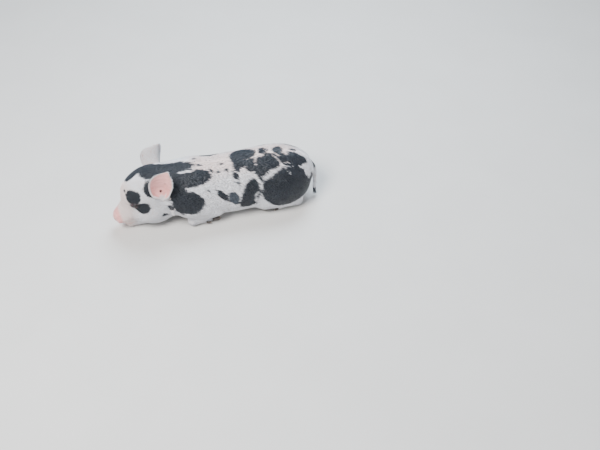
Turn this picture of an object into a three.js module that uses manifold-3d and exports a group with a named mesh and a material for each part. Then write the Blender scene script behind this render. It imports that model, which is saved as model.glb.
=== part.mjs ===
// A kunekune piglet of about three weeks, life size, asleep on its belly with its chin on the floor.
// Millimetres, +Z up. The nose points to -X, the piglet's left side faces -Y, and it lies on Z 0.
// The flesh is one smooth shape, written as a distance field of rounded blobs and tapering limbs that
// melt into each other. It is meshed once for each node and parted with thin cuts.
import * as THREE from "three";
import Module from "manifold-3d";

const wasm = await Module();
wasm.setup();

// Gap that two neighbouring solids keep, and the edge of a mesh cell, finest on the face.
const GAP = 0.35;
const CELL = { head: 5.6, neck: 8.0, torso: 9.0, leg: 6.6 };

// Vectors are plain arrays [x, y, z].
const add = (a, b, s = 1) => [a[0] + b[0] * s, a[1] + b[1] * s, a[2] + b[2] * s];
const sub = (a, b) => add(a, b, -1);
const dot = (a, b) => a[0] * b[0] + a[1] * b[1] + a[2] * b[2];
const cross = (a, b) => [0, 1, 2].map((k) => {
  const [m, n] = [(k + 1) % 3, (k + 2) % 3];
  return a[m] * b[n] - a[n] * b[m];
});
const unit = (a) => add([0, 0, 0], a, 1 / Math.hypot(...a));
const mix = (a, b, t) => a + (b - a) * t;
const clamp = (t) => Math.min(1, Math.max(0, t));

// Distance to an ellipsoid, close enough near its surface.
const blob = (centre, radii) => (p) => {
  const x = (p[0] - centre[0]) / radii[0];
  const y = (p[1] - centre[1]) / radii[1];
  const z = (p[2] - centre[2]) / radii[2];
  const inner = Math.hypot(x, y, z);
  if (inner < 1e-6) return -Math.min(...radii);
  return (inner * (inner - 1)) / Math.hypot(x / radii[0], y / radii[1], z / radii[2]);
};

// Distance to a limb that tapers from radius ra at a to radius rb at b.
const limb = (a, ra, b, rb) => {
  const along = sub(b, a);
  const length2 = dot(along, along);
  return (p) => {
    const t = clamp(dot(sub(p, a), along) / length2);
    return Math.hypot(...sub(p, add(a, along, t))) - mix(ra, rb, t);
  };
};

// Smallest of two distances, with a fillet of about that radius where they meet.
const melt = (a, b, radius) => {
  const h = Math.max(radius - Math.abs(a - b), 0) / radius;
  return Math.min(a, b) - (h * h * radius) / 4;
};
const meltAll = (shapes, radius) => (p) => shapes.map((s) => s(p)).reduce((a, b) => melt(a, b, radius));

// The trunk: chest, belly and rump, and the thick short neck.
const trunk = meltAll(
  [
    blob([-34, 0, 53], [60, 44, 45]),
    blob([30, 0, 50.5], [92, 49, 51.4]),
    blob([105, 0, 53.5], [68, 49, 49.5]),
  ],
  26,
);
const neck = limb([-42, 0, 57], 42, [-86, 0, 70], 36.5);

// The head turns a little to the left about the neck.
const HEAD_TURN = THREE.MathUtils.degToRad(6);
const HEAD_PIVOT = [-85, 0, 60];
const turned = (p, angle) => {
  const [x, y, z] = sub(p, HEAD_PIVOT);
  const c = Math.cos(angle);
  const s = Math.sin(angle);
  return add([c * x - s * y, s * x + c * y, z], HEAD_PIVOT);
};
const headPoint = (p) => turned(p, HEAD_TURN);
const headSpace = (p) => turned(p, -HEAD_TURN);
const headDirection = (d) => sub(headPoint(add(HEAD_PIVOT, d)), HEAD_PIVOT);

// Skull, brow, muzzle, snout, lower jaw and throat, before the head's turn. The cheeks are a pair.
const skull = meltAll(
  [
    blob([-103, 0, 75], [36, 34, 33]),
    blob([-125, 0, 69], [24, 25, 24]),
    limb([-128, 0, 60], 21, [-140, 0, 43], 15),
    limb([-118, 0, 42], 25, [-143, 0, 32], 15),
    limb([-138, 0, 30], 14.5, [-158, 0, 27], 12),
    limb([-100, 0, 19.5], 20.5, [-142, 0, 9], 9.8),
    blob([-76, 0, 36], [30, 28, 26]),
  ],
  14,
);
const cheek = blob([-101, 18, 37], [31, 17, 26]);
const brow = limb([-119, 21, 75], 8.5, [-138, 17, 70], 6.5);
const headShape = (p) => {
  const q = headSpace(p);
  const side = [q[0], Math.abs(q[1]), q[2]];
  return melt(melt(skull(q), cheek(side), 12), brow(side), 9);
};

// Folded legs. The points are those of a leg with y counted outwards; its shift moves it along X.
const LEG_SHIFT = { fore_left: 0, fore_right: -3, hind_left: 0, hind_right: 5 };
const foreUpper = meltAll(
  [
    blob([-38, 29, 52], [30, 16, 28]),
    limb([-42, 30, 44], 17, [-4, 32, 31], 13),
  ],
  14,
);
const foreLower = meltAll(
  [
    limb([-3, 34.5, 28], 12.5, [-42, 34, 11.5], 9.6),
    limb([-43, 32, 8], 8.6, [-24, 30.5, 6.5], 7),
    limb([-24, 30.5, 6.5], 7, [-12, 30, 6], 6.2),
  ],
  5,
);
const hindUpper = meltAll(
  [
    blob([116, 29, 42], [41, 21, 37]),
    limb([104, 30, 40], 22, [80, 32, 27], 15),
  ],
  16,
);
const hindLower = meltAll(
  [
    limb([80, 32, 22], 13, [137, 30, 13], 10),
    limb([137, 29, 10], 9.5, [106, 29, 7], 7.2),
    limb([106, 29, 7], 7.2, [93, 28, 6.5], 6.4),
  ],
  6,
);

// One leg as a field of its own, and how softly its upper and lower halves melt into the trunk.
const FILLET = { upper: 12, lower: 5 };
function legFields(name) {
  const [kind, side] = name.split("_");
  const y = side === "left" ? -1 : 1;
  const own = (p) => [p[0] - LEG_SHIFT[name], p[1] * y, p[2]];
  const halves = kind === "fore" ? [foreUpper, foreLower] : [hindUpper, hindLower];
  return { upper: (p) => halves[0](own(p)), lower: (p) => halves[1](own(p)) };
}
const LEG_NAMES = ["fore_left", "fore_right", "hind_left", "hind_right"];
const legs = Object.fromEntries(LEG_NAMES.map((name) => [name, legFields(name)]));

// The whole flesh.
function flesh(p) {
  let d = melt(melt(trunk(p), neck(p), 24), headShape(p), 10);
  for (const name of LEG_NAMES) {
    d = melt(d, legs[name].upper(p), FILLET.upper);
    d = melt(d, legs[name].lower(p), FILLET.lower);
  }
  return d;
}

// Moves a point onto the level surface of a field, along the field's slope.
function settle(field, point, level = 0, rounds = 3) {
  const e = 0.05;
  let p = point;
  for (let i = 0; i < rounds; i++) {
    const d = field(p) - level;
    const slope = [0, 1, 2].map((k) => {
      const ahead = [...p];
      ahead[k] += e;
      return (field(ahead) - level - d) / e;
    });
    p = add(p, slope, -d / Math.max(dot(slope, slope), 0.05));
  }
  return p;
}

// Meshes the level surface of a field, closed by the walls of a box: one vertex for each cell that the
// surface crosses, which is then evened out among its neighbours and settled on the surface again.
function meshField(open, low, high, cell, level = 0) {
  const middle = add(low, sub(high, low), 0.5);
  const half = add([0, 0, 0], sub(high, low), 0.5);
  const inset = cell * 1.2;
  const wall = (p) => Math.max(...[0, 1, 2].map((k) => Math.abs(p[k] - middle[k]) - half[k] + inset));
  const field = (p) => Math.max(open(p), wall(p) + level);
  const count = [0, 1, 2].map((k) => Math.ceil((high[k] - low[k]) / cell) + 1);
  const step = [1, count[0], count[0] * count[1]];
  const values = new Float32Array(count[0] * count[1] * count[2]);
  const at = (i, j, k) => i + j * step[1] + k * step[2];
  for (let k = 0; k < count[2]; k++)
    for (let j = 0; j < count[1]; j++)
      for (let i = 0; i < count[0]; i++)
        values[at(i, j, k)] = field([low[0] + i * cell, low[1] + j * cell, low[2] + k * cell]) - level;
  const vertexOf = new Map();
  const points = [];
  for (let k = 0; k < count[2] - 1; k++)
    for (let j = 0; j < count[1] - 1; j++)
      for (let i = 0; i < count[0] - 1; i++) {
        let sum = [0, 0, 0];
        let crossings = 0;
        for (let corner = 0; corner < 8; corner++)
          for (let axis = 0; axis < 3; axis++) {
            if (corner & (1 << axis)) continue;
            const c = [corner & 1, (corner >> 1) & 1, (corner >> 2) & 1];
            const here = at(i + c[0], j + c[1], k + c[2]);
            const a = values[here];
            const b = values[here + step[axis]];
            if (a < 0 === b < 0) continue;
            c[axis] += a / (a - b);
            sum = add(sum, c);
            crossings++;
          }
        if (!crossings) continue;
        vertexOf.set(at(i, j, k), points.length);
        points.push([0, 1, 2].map((n) => low[n] + ([i, j, k][n] + sum[n] / crossings) * cell));
      }
  const quads = [];
  for (let k = 1; k < count[2] - 1; k++)
    for (let j = 1; j < count[1] - 1; j++)
      for (let i = 1; i < count[0] - 1; i++)
        for (let axis = 0; axis < 3; axis++) {
          const here = at(i, j, k);
          const inside = values[here] < 0;
          if (inside === values[here + step[axis]] < 0) continue;
          const u = step[(axis + 1) % 3];
          const v = step[(axis + 2) % 3];
          const quad = [here, here - u, here - u - v, here - v].map((c) => vertexOf.get(c));
          quads.push(inside ? quad : quad.reverse());
        }
  relax(field, points, quads, level);
  return { points, triangles: quads.flatMap((q) => shorterDiagonal(points, q)) };
}
function relax(field, points, quads, level) {
  const ROUNDS = 4;
  for (let round = 0; round < ROUNDS; round++) {
    const sums = points.map(() => [0, 0, 0, 0]);
    for (const q of quads)
      q.forEach((v, n) => {
        const next = points[q[(n + 1) % 4]];
        for (let k = 0; k < 3; k++) sums[v][k] += next[k];
        sums[v][3]++;
        const s = sums[q[(n + 1) % 4]];
        for (let k = 0; k < 3; k++) s[k] += points[v][k];
        s[3]++;
      });
    sums.forEach((s, v) => {
      const even = [0, 1, 2].map((k) => mix(points[v][k], s[k] / s[3], 0.5));
      points[v] = settle(field, even, level, 1);
    });
  }
}
function shorterDiagonal(points, [a, b, c, d]) {
  const ac = Math.hypot(...sub(points[a], points[c]));
  const bd = Math.hypot(...sub(points[b], points[d]));
  return ac < bd ? [a, b, c, a, c, d] : [a, b, d, b, c, d];
}

// Solids that manifold-3d joins and cuts, from such a mesh or from a three.js geometry.
const fromMesh = ({ points, triangles }) =>
  new wasm.Manifold(
    new wasm.Mesh({
      numProp: 3,
      vertProperties: new Float32Array(points.flat()),
      triVerts: new Uint32Array(triangles),
    }),
  );
function fromGeometry(geometry) {
  const position = geometry.getAttribute("position");
  const index = geometry.index ? [...geometry.index.array] : [...Array(position.count).keys()];
  const seen = new Map();
  const points = [];
  const same = [];
  for (let i = 0; i < position.count; i++) {
    const p = [position.getX(i), position.getY(i), position.getZ(i)];
    const key = p.map((x) => Math.round(x * 1e4)).join();
    if (!seen.has(key)) {
      seen.set(key, points.length);
      points.push(p);
    }
    same.push(seen.get(key));
  }
  const triangles = [];
  for (let i = 0; i < index.length; i += 3) {
    const [a, b, c] = [same[index[i]], same[index[i + 1]], same[index[i + 2]]];
    if (a !== b && b !== c && a !== c) triangles.push(a, b, c);
  }
  const solid = fromMesh({ points, triangles });
  if (solid.volume() >= 0) return solid;
  for (let i = 0; i < triangles.length; i += 3)
    [triangles[i + 1], triangles[i + 2]] = [triangles[i + 2], triangles[i + 1]];
  return fromMesh({ points, triangles });
}

// Everything above the floor, and everything on one side of a slanted plane across the body.
const ROOM = 500;
const box = (low, high) => {
  const size = sub(high, low);
  const geometry = new THREE.BoxGeometry(...size);
  geometry.translate(...add(low, size, 0.5));
  return fromGeometry(geometry);
};
const aboveFloor = box([-ROOM, -ROOM, 0], [ROOM, ROOM, ROOM]);
// The half behind a plane that leans from x = top at height 100 to x = bottom at the floor.
function behind(plane, shift) {
  const lean = Math.atan2(plane.top - plane.bottom, 100);
  const geometry = new THREE.BoxGeometry(ROOM, ROOM, ROOM);
  geometry.translate(ROOM / 2 - shift, 0, 0);
  geometry.rotateY(lean);
  geometry.translate(plane.bottom, 0, 0);
  return fromGeometry(geometry);
}
const NAPE = { top: -66, bottom: -68 };
const SHOULDER = { top: -40, bottom: -54 };

// A leg is parted from the trunk along an outline seen from the side, cut straight in to a flat face
// inside the body. The outlines are [x, z] pairs of a smooth closed curve, before the leg's shift.
const LEG_OUTLINE = {
  fore: [
    [-59, 34], [-53, 60], [-36, 74], [-12, 66], [8, 44],
    [12, 24], [8, 6], [-4, -12], [-36, -14], [-57, -6],
  ],
  hind: [
    [64, 20], [76, 50], [104, 78], [132, 78], [156, 58],
    [163, 30], [158, 4], [130, -14], [88, -14], [68, -6],
  ],
};
const LEG_DEPTH = { inner: 17, outer: 80 };
const LEG_BOX = {
  fore: [[-80, 2, -14], [30, 72, 100]],
  hind: [[45, 2, -14], [180, 72, 100]],
};
function legBox(name) {
  const [kind, side] = name.split("_");
  const [low, high] = LEG_BOX[kind];
  const x = LEG_SHIFT[name];
  const [near, far] = side === "left" ? [-high[1], -low[1]] : [low[1], high[1]];
  return [[low[0] + x, near, low[2]], [high[0] + x, far, high[2]]];
}
function legRoom(name, grown) {
  const [kind, side] = name.split("_");
  const corners = LEG_OUTLINE[kind].map(([x, z]) => new THREE.Vector3(x + LEG_SHIFT[name], z, 0));
  const curve = new THREE.CatmullRomCurve3(corners, true, "centripetal").getPoints(32).slice(0, -1);
  const middle = new THREE.Box3().setFromPoints(curve).getCenter(new THREE.Vector3());
  const outline = curve.map((c) => {
    const out = c.clone().sub(middle).normalize().multiplyScalar(grown * 1.3);
    return new THREE.Vector2(c.x + out.x, c.y + out.y);
  });
  const inner = LEG_DEPTH.inner - grown;
  const options = { depth: LEG_DEPTH.outer - inner, bevelEnabled: false };
  const geometry = new THREE.ExtrudeGeometry(new THREE.Shape(outline), options);
  geometry.rotateX(Math.PI / 2);
  geometry.translate(0, side === "left" ? -inner : LEG_DEPTH.outer, 0);
  return fromGeometry(geometry);
}
const outsideLegs = LEG_NAMES.map((name) => legRoom(name, GAP)).reduce((a, b) => a.add(b));

// Keeps the largest closed body and turns it into a mesh for the scene.
function largest(solid) {
  return solid.decompose().reduce((a, b) => (a.volume() > b.volume() ? a : b));
}
const piglet = new THREE.Group();
const colours = {
  white_coat: { color: 0xe9e2dd, roughness: 0.75 },
  black_coat: { color: 0x23252b, roughness: 0.6 },
  pink_skin: { color: 0xe3b0ab, roughness: 0.6 },
  eye: { color: 0x17110e, roughness: 0.15 },
  horn: { color: 0x4a4340, roughness: 0.5 },
};
const materials = {};
for (const [slot, look] of Object.entries(colours))
  materials[slot] = new THREE.MeshStandardMaterial({ ...look, metalness: 0 });
function addNode(name, solid, slot) {
  const mesh = largest(solid).getMesh();
  const stride = mesh.numProp;
  const position = new Float32Array(mesh.numVert * 3);
  for (let i = 0; i < mesh.numVert; i++)
    position.set(mesh.vertProperties.subarray(i * stride, i * stride + 3), i * 3);
  const geometry = new THREE.BufferGeometry()
    .setAttribute("position", new THREE.BufferAttribute(position, 3))
    .setIndex(new THREE.BufferAttribute(new Uint32Array(mesh.triVerts), 1));
  geometry.computeVertexNormals();
  const node = new THREE.Mesh(geometry, materials[slot]);
  node.name = name;
  piglet.add(node);
}

// Hooves: each foot has two main claws and two dew claws behind them, horn cones with a rounded toe.
// Every claw is turned from one profile, flattened to its side of the foot and laid along the foot.
function claw(heel, toe, width, height, grown) {
  const PROFILE = [[0, 0], [0.46, 0.06], [0.48, 0.45], [0.3, 0.86], [0, 1]];
  const geometry = new THREE.LatheGeometry(PROFILE.map(([r, h]) => new THREE.Vector2(r, h)), 7);
  const along = sub(toe, heel);
  geometry.scale(width + 2 * grown, Math.hypot(...along) + 2 * grown, height + 2 * grown);
  const upright = new THREE.Vector3(0, 1, 0);
  const lying = new THREE.Vector3(...unit(along));
  geometry.applyQuaternion(new THREE.Quaternion().setFromUnitVectors(upright, lying));
  geometry.translate(...add(heel, unit(along), -grown));
  return fromGeometry(geometry);
}
// Where a foot's toes root, the way they point (+1 to the rump), and the height of their middle.
const FOOT = {
  fore: { root: [-10, 30, 6], way: 1, width: 7.2, height: 9, length: 14 },
  hind: { root: [91, 28, 6], way: -1, width: 7.4, height: 9.5, length: 15 },
};
const DEW = { back: 11, out: 7.6, up: -2, width: 4.4, height: 4.4, length: 8, flare: 3 };
function claws(name, grown) {
  const [kind, side] = name.split("_");
  const foot = FOOT[kind];
  const sign = side === "left" ? -1 : 1;
  const place = ([x, y, z]) => [x + LEG_SHIFT[name], y * sign, z];
  const made = {};
  for (const [which, out] of [["outer", 1], ["inner", -1]]) {
    const heel = add(foot.root, [0, out * 3.75, 0]);
    const toe = add(heel, [foot.way * foot.length, out * 0.6, -1.2]);
    made[`hoof_${name}_${which}`] = claw(place(heel), place(toe), foot.width, foot.height, grown);
    const spur = add(foot.root, [-foot.way * DEW.back, out * DEW.out, DEW.up]);
    const spurTip = add(spur, [foot.way * DEW.length, out * DEW.flare, 0]);
    made[`dewclaw_${name}_${which}`] = claw(place(spur), place(spurTip), DEW.width, DEW.height, grown);
  }
  return made;
}

// Tail: a slim tapering tube that hangs from the rump, ending in a small brush of flat hair locks.
const TAIL_PATH = [
  [158, 0, 63], [166, 0, 61.5], [172.5, -1, 56], [174.6, -4, 46],
  [174, -8, 33], [172.5, -12.5, 21], [171.5, -15.5, 12],
];
const TAIL_RADII = { root: 5, tip: 3 };
const TAIL_SIDES = 8;
function tube(path, radius, rings, sides) {
  const knots = path.map((p) => new THREE.Vector3(...p));
  const curve = new THREE.CatmullRomCurve3(knots, false, "centripetal");
  const frames = curve.computeFrenetFrames(rings, false);
  const points = [];
  const triangles = [];
  for (let i = 0; i <= rings; i++) {
    const t = i / rings;
    const centre = curve.getPointAt(t).toArray();
    const across = frames.normals[i].toArray();
    const other = frames.binormals[i].toArray();
    for (let j = 0; j < sides; j++) {
      const angle = (2 * Math.PI * j) / sides;
      const r = radius(t);
      const p = add(centre, across, r * Math.cos(angle));
      points.push(add(p, other, r * Math.sin(angle)));
    }
  }
  for (let i = 0; i < rings; i++)
    for (let j = 0; j < sides; j++) {
      const a = i * sides + j;
      const b = i * sides + ((j + 1) % sides);
      triangles.push(a, b, b + sides, a, b + sides, a + sides);
    }
  for (const [ring, end] of [[0, 0], [rings, 1]]) {
    const middle = points.length;
    points.push(curve.getPointAt(end).toArray());
    for (let j = 0; j < sides; j++) {
      const a = ring * sides + j;
      const b = ring * sides + ((j + 1) % sides);
      triangles.push(...(end ? [a, b, middle] : [b, a, middle]));
    }
  }
  const solid = fromMesh({ points, triangles });
  if (solid.volume() >= 0) return solid;
  return fromMesh({ points, triangles: triangles.reverse() });
}
const BRUSH = { locks: 5, length: 13, width: 1.7, root: [171.8, -14.5, 15] };
function tailBrush() {
  const locks = [];
  for (let n = 0; n < BRUSH.locks; n++) {
    const angle = (2 * Math.PI * (n + 0.3)) / BRUSH.locks;
    const out = [Math.cos(angle), Math.sin(angle), 0];
    const length = BRUSH.length * (0.8 + 0.2 * Math.abs(Math.sin(3 * n + 1)));
    const root = add(BRUSH.root, out, 1.2);
    const middle = add(add(root, out, 1.6), [0, 0, -length * 0.5]);
    const tip = add(add(root, out, 2.6), [0, 0, -length]);
    locks.push(tube([root, middle, tip], (t) => BRUSH.width * (1 - 0.8 * t), 4, 5));
  }
  return locks.reduce((a, b) => a.add(b));
}

// Piri piri: the two tassels of soft flesh that hang from the throat.
const TASSEL = { root: [-81, 34, 58], middle: [-78.5, 41, 51], tip: [-78, 43, 41] };
const TASSEL_OUT = { left: 2, right: -1 };
const TASSEL_RADIUS = (t) => 3.3 + 1.0 * Math.sin(Math.PI * clamp(t * 1.1 - 0.1)) - 2.4 * t ** 6;
function tassel(side) {
  const out = side < 0 ? TASSEL_OUT.left : TASSEL_OUT.right;
  const knots = [TASSEL.root, TASSEL.middle, TASSEL.tip];
  return tube(knots.map(([x, y, z]) => headPoint([x, (y + out) * side, z])), TASSEL_RADIUS, 9, 9);
}

// Ears: an upright cupped leaf of skin, rolled almost into a tube at its root. Each section across the
// ear is a curve through the spine, with its own reach to the front and back edges and its own roll.
// A grid of points runs along the ear and across it on the hollow side, with a second one behind it.
const EAR = {
  spine: [
    [-87, 27, 73], [-87, 29, 82], [-86.5, 32, 93],
    [-84, 35.5, 106], [-80.5, 37, 116], [-77, 37.5, 124],
  ],
  front: [4.5, 8.5, 17, 21, 16, 3],
  back: [4.5, 8.5, 13, 15, 10.5, 2],
  roll: [2.7, 2.3, 1.4, 0.95, 0.7, 0.5],
  thick: [3.4, 2.8, 2.4, 2.1, 1.9, 1.6],
};
const EARS = {
  ear_left: { side: -1, face: [-0.34, -0.9, 0.1], back: 0 },
  ear_right: { side: 1, face: [-0.34, 0.9, 0.1], back: 3.5 },
};
const EAR_RINGS = 10;
const EAR_COLUMNS = 12;
const EAR_CANAL = { centre: [-88, 36, 86], radii: [8, 9, 9] };
// Value of an evenly spaced list at u from 0 to 1.
function along(list, u) {
  const points = list.map((y, i) => new THREE.Vector3(i, y, 0));
  return new THREE.CatmullRomCurve3(points).getPoint(u).y;
}
function ear({ side, face, back }) {
  const spine = new THREE.CatmullRomCurve3(
    EAR.spine.map(([x, y, z]) => new THREE.Vector3(...headPoint([x + back, y * side, z]))),
  );
  const front = headDirection(face);
  const sheets = [[], []];
  for (let i = 0; i <= EAR_RINGS; i++) {
    const u = 1 - (1 - i / EAR_RINGS) ** 1.15;
    const axis = spine.getTangent(u).toArray();
    const open = unit(add(front, axis, -dot(front, axis)));
    const across = cross(axis, open);
    const ahead = across[0] < 0 ? 1 : -1;
    const roll = along(EAR.roll, u);
    for (let j = 0; j <= EAR_COLUMNS; j++) {
      const v = (2 * j) / EAR_COLUMNS - 1;
      const half = along(v * ahead > 0 ? EAR.front : EAR.back, u);
      const reach = half / Math.sin(Math.min(roll, Math.PI / 2));
      const normal = add(add([0, 0, 0], open, Math.cos(v * roll)), across, -Math.sin(v * roll));
      const out = add(spine.getPoint(u).toArray(), across, reach * Math.sin(v * roll));
      const p = add(out, open, reach * (1 - Math.cos(v * roll)));
      sheets[0].push(p);
      sheets[1].push(add(p, normal, -along(EAR.thick, u) * (1 - 0.4 * v * v)));
    }
  }
  return sheetSolid(sheets, EAR_RINGS + 1, EAR_COLUMNS + 1);
}
function sheetSolid(sheets, rows, columns) {
  const points = sheets.flat();
  const back = rows * columns;
  const at = (i, j) => i * columns + j;
  const triangles = [];
  for (let i = 0; i < rows - 1; i++)
    for (let j = 0; j < columns - 1; j++) {
      const [a, b, c, d] = [at(i, j), at(i, j + 1), at(i + 1, j + 1), at(i + 1, j)];
      triangles.push(a, b, c, a, c, d, back + a, back + c, back + b, back + a, back + d, back + c);
    }
  const rim = [];
  for (let j = 0; j < columns - 1; j++) rim.push(at(0, j));
  for (let i = 0; i < rows - 1; i++) rim.push(at(i, columns - 1));
  for (let j = columns - 1; j > 0; j--) rim.push(at(rows - 1, j));
  for (let i = rows - 1; i > 0; i--) rim.push(at(i, 0));
  rim.forEach((a, n) => {
    const b = rim[(n + 1) % rim.length];
    triangles.push(b, a, back + a, b, back + a, back + b);
  });
  const solid = fromMesh({ points, triangles });
  return solid.volume() >= 0 ? solid : fromMesh({ points, triangles: triangles.reverse() });
}

function earCanal(side) {
  const geometry = new THREE.SphereGeometry(1, 12, 8);
  geometry.scale(...EAR_CANAL.radii);
  geometry.translate(...headPoint(EAR_CANAL.centre.map((x, k) => (k === 1 ? x * side : x))));
  return fromGeometry(geometry);
}

// Eyes: a ball in a socket, with lids that leave a narrow slit, as on a drowsy piglet.
const EYE = { centre: [-132.5, 21, 63.5], radius: 6.6, lid: 1.5, slit: 2.6, slitLength: 11.5 };
const eyeCentre = (side) => headPoint([EYE.centre[0], EYE.centre[1] * side, EYE.centre[2]]);
function ball(centre, radius) {
  const geometry = new THREE.SphereGeometry(radius, 16, 10);
  geometry.rotateX(Math.PI / 2);
  geometry.translate(...centre);
  return fromGeometry(geometry);
}
// A lens across the eye that opens the lids: long and low, on the ball's outer face.
function slit(side) {
  const geometry = new THREE.SphereGeometry(1, 12, 12);
  geometry.rotateX(Math.PI / 2);
  geometry.scale(EYE.slitLength / 2, 8, EYE.slit / 2);
  geometry.rotateY(THREE.MathUtils.degToRad(-28));
  geometry.rotateZ(HEAD_TURN + side * THREE.MathUtils.degToRad(22));
  const out = headDirection([-3.2, 8 * side, 0.6]);
  geometry.translate(...add(eyeCentre(side), out));
  return fromGeometry(geometry);
}

// Snout: the round flat disc of gristle, with a rim and two nostrils, facing forwards and a little down.
const SNOUT = { centre: [-161.5, 0, 25.5], half: 13.5, tall: 10.5, depth: 7, tilt: 8 };
const NOSTRIL = { out: 5.4, up: 0.6, width: 3.0, height: 4.4, depth: 9 };
function snoutPlace(geometry) {
  geometry.rotateY(THREE.MathUtils.degToRad(-SNOUT.tilt));
  geometry.rotateZ(HEAD_TURN);
  geometry.translate(...headPoint(SNOUT.centre));
  return fromGeometry(geometry);
}
function snoutDisc() {
  const PROFILE = [
    [0, -0.5], [0.86, -0.5], [0.97, -0.2], [1, 0.15],
    [0.94, 0.42], [0.8, 0.5], [0.66, 0.42], [0, 0.4],
  ];
  const profile = PROFILE.map(([r, h]) => new THREE.Vector2(r, h * SNOUT.depth));
  const geometry = new THREE.LatheGeometry(profile, 24);
  geometry.rotateZ(Math.PI / 2);
  geometry.scale(1, SNOUT.tall, SNOUT.half);
  geometry.rotateX(Math.PI / 2);
  return snoutPlace(geometry);
}
function nostril(side) {
  const geometry = new THREE.SphereGeometry(1, 12, 8);
  geometry.scale(NOSTRIL.depth / 2, NOSTRIL.width / 2, NOSTRIL.height / 2);
  geometry.rotateX(side * THREE.MathUtils.degToRad(20));
  geometry.translate(-SNOUT.depth / 2, NOSTRIL.out * side, NOSTRIL.up);
  return snoutPlace(geometry);
}

// Mouth: a groove from cheek to cheek under the snout, with the upper lip rolled over it.
const MOUTH = [[-122, 25, 25], [-131, 21, 20], [-141, 16.5, 16.5], [-150, 11, 14.5], [-154, 0, 14]];
const MOUTH_GROOVE = 1.3;
const UPPER_LIP = { radius: 2.4, rise: 2.5, front: 0.45 };
function alongMouth(radius, rise, front = 1) {
  const half = MOUTH.map(([x, y, z]) => [x, y, z + rise]);
  const across = [...half, ...half.slice(0, -1).reverse().map(([x, y, z]) => [x, -y, z])];
  const path = across.map((p) => settle(flesh, headPoint(p)));
  const ends = (t) => 0.45 + 0.55 * Math.sin(Math.PI * t) ** 0.4;
  const middle = (t) => mix(front, 1, clamp(Math.abs(t - 0.5) * 5));
  return tube(path, (t) => radius * ends(t) * middle(t), 24, 5);
}

// The head's flesh, and the nodes that grow from the flesh.
const grownFlesh = (low, high, cell) => fromMesh(meshField(flesh, low, high, cell, 2 * GAP));
const HEAD_BOX = [[-190, -62, -14], [-45, 62, 125]];
function headSolid() {
  const shape = fromMesh(meshField(flesh, ...HEAD_BOX, CELL.head));
  let head = shape.subtract(behind(NAPE, GAP / 2)).intersect(aboveFloor);
  const lip = alongMouth(UPPER_LIP.radius, UPPER_LIP.rise, UPPER_LIP.front);
  head = head.add(snoutDisc()).add(lip.intersect(aboveFloor));
  head = head.subtract(alongMouth(MOUTH_GROOVE, 0));
  for (const side of [-1, 1]) {
    head = head.subtract(nostril(side)).subtract(earCanal(side));
    head = head.add(ball(eyeCentre(side), EYE.radius + EYE.lid));
    head = head.subtract(ball(eyeCentre(side), EYE.radius + GAP)).subtract(slit(side));
  }
  return head;
}
addNode("head", headSolid(), "white_coat");
addNode("eye_left", ball(eyeCentre(-1), EYE.radius), "eye");
addNode("eye_right", ball(eyeCentre(1), EYE.radius), "eye");

const aroundHead = grownFlesh(...HEAD_BOX, CELL.head);
for (const [name, shape] of Object.entries(EARS))
  addNode(name, ear(shape).subtract(aroundHead), "pink_skin");
addNode("piri_piri_left", tassel(-1).subtract(aroundHead), "black_coat");
addNode("piri_piri_right", tassel(1).subtract(aroundHead), "black_coat");

const NECK_BOX = [[-90, -66, -14], [-15, 66, 125]];
const neckFlesh = fromMesh(meshField(flesh, ...NECK_BOX, CELL.neck));
const neckSolid = neckFlesh
  .intersect(behind(NAPE, -GAP / 2))
  .subtract(behind(SHOULDER, GAP / 2))
  .intersect(aboveFloor)
  .subtract(outsideLegs);
addNode("neck", neckSolid, "black_coat");

const TORSO_BOX = [[-75, -70, -14], [190, 70, 125]];
const torsoFlesh = fromMesh(meshField(flesh, ...TORSO_BOX, CELL.torso));
const torsoSolid = torsoFlesh
  .intersect(behind(SHOULDER, -GAP / 2))
  .intersect(aboveFloor)
  .subtract(outsideLegs);
addNode("torso", torsoSolid, "white_coat");

const aroundRump = grownFlesh([140, -30, 30], [190, 30, 90], CELL.head);
const tailTube = tube(TAIL_PATH, (t) => mix(TAIL_RADII.root, TAIL_RADII.tip, t ** 0.7), 14, TAIL_SIDES);
addNode("tail", tailTube.add(tailBrush()).intersect(aboveFloor).subtract(aroundRump), "white_coat");

// Legs and hooves.
for (const name of LEG_NAMES) {
  const [low, high] = legBox(name);
  const legFlesh = fromMesh(meshField(flesh, low, high, CELL.leg));
  const whole = legFlesh.intersect(legRoom(name, 0)).intersect(aboveFloor);
  const leg = Object.values(claws(name, GAP)).reduce((rest, claw) => rest.subtract(claw), whole);
  addNode(name.replace("_", "leg_"), leg, name.startsWith("fore") ? "white_coat" : "black_coat");
  const aroundLeg = grownFlesh(low, high, CELL.leg);
  for (const [node, horn] of Object.entries(claws(name, 0)))
    addNode(node, horn.intersect(aboveFloor).subtract(aroundLeg), "horn");
}

// The group's own frame: the origin lies under the middle of the whole, at floor height.
const reach = new THREE.Box3().setFromObject(piglet);
const middle = reach.getCenter(new THREE.Vector3());
piglet.children.forEach((mesh) => mesh.geometry.translate(-middle.x, -middle.y, -reach.min.z));

export default piglet;
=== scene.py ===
import math

import bmesh
import bpy
import numpy as np
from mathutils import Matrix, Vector, kdtree
from mathutils.bvhtree import BVHTree


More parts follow.
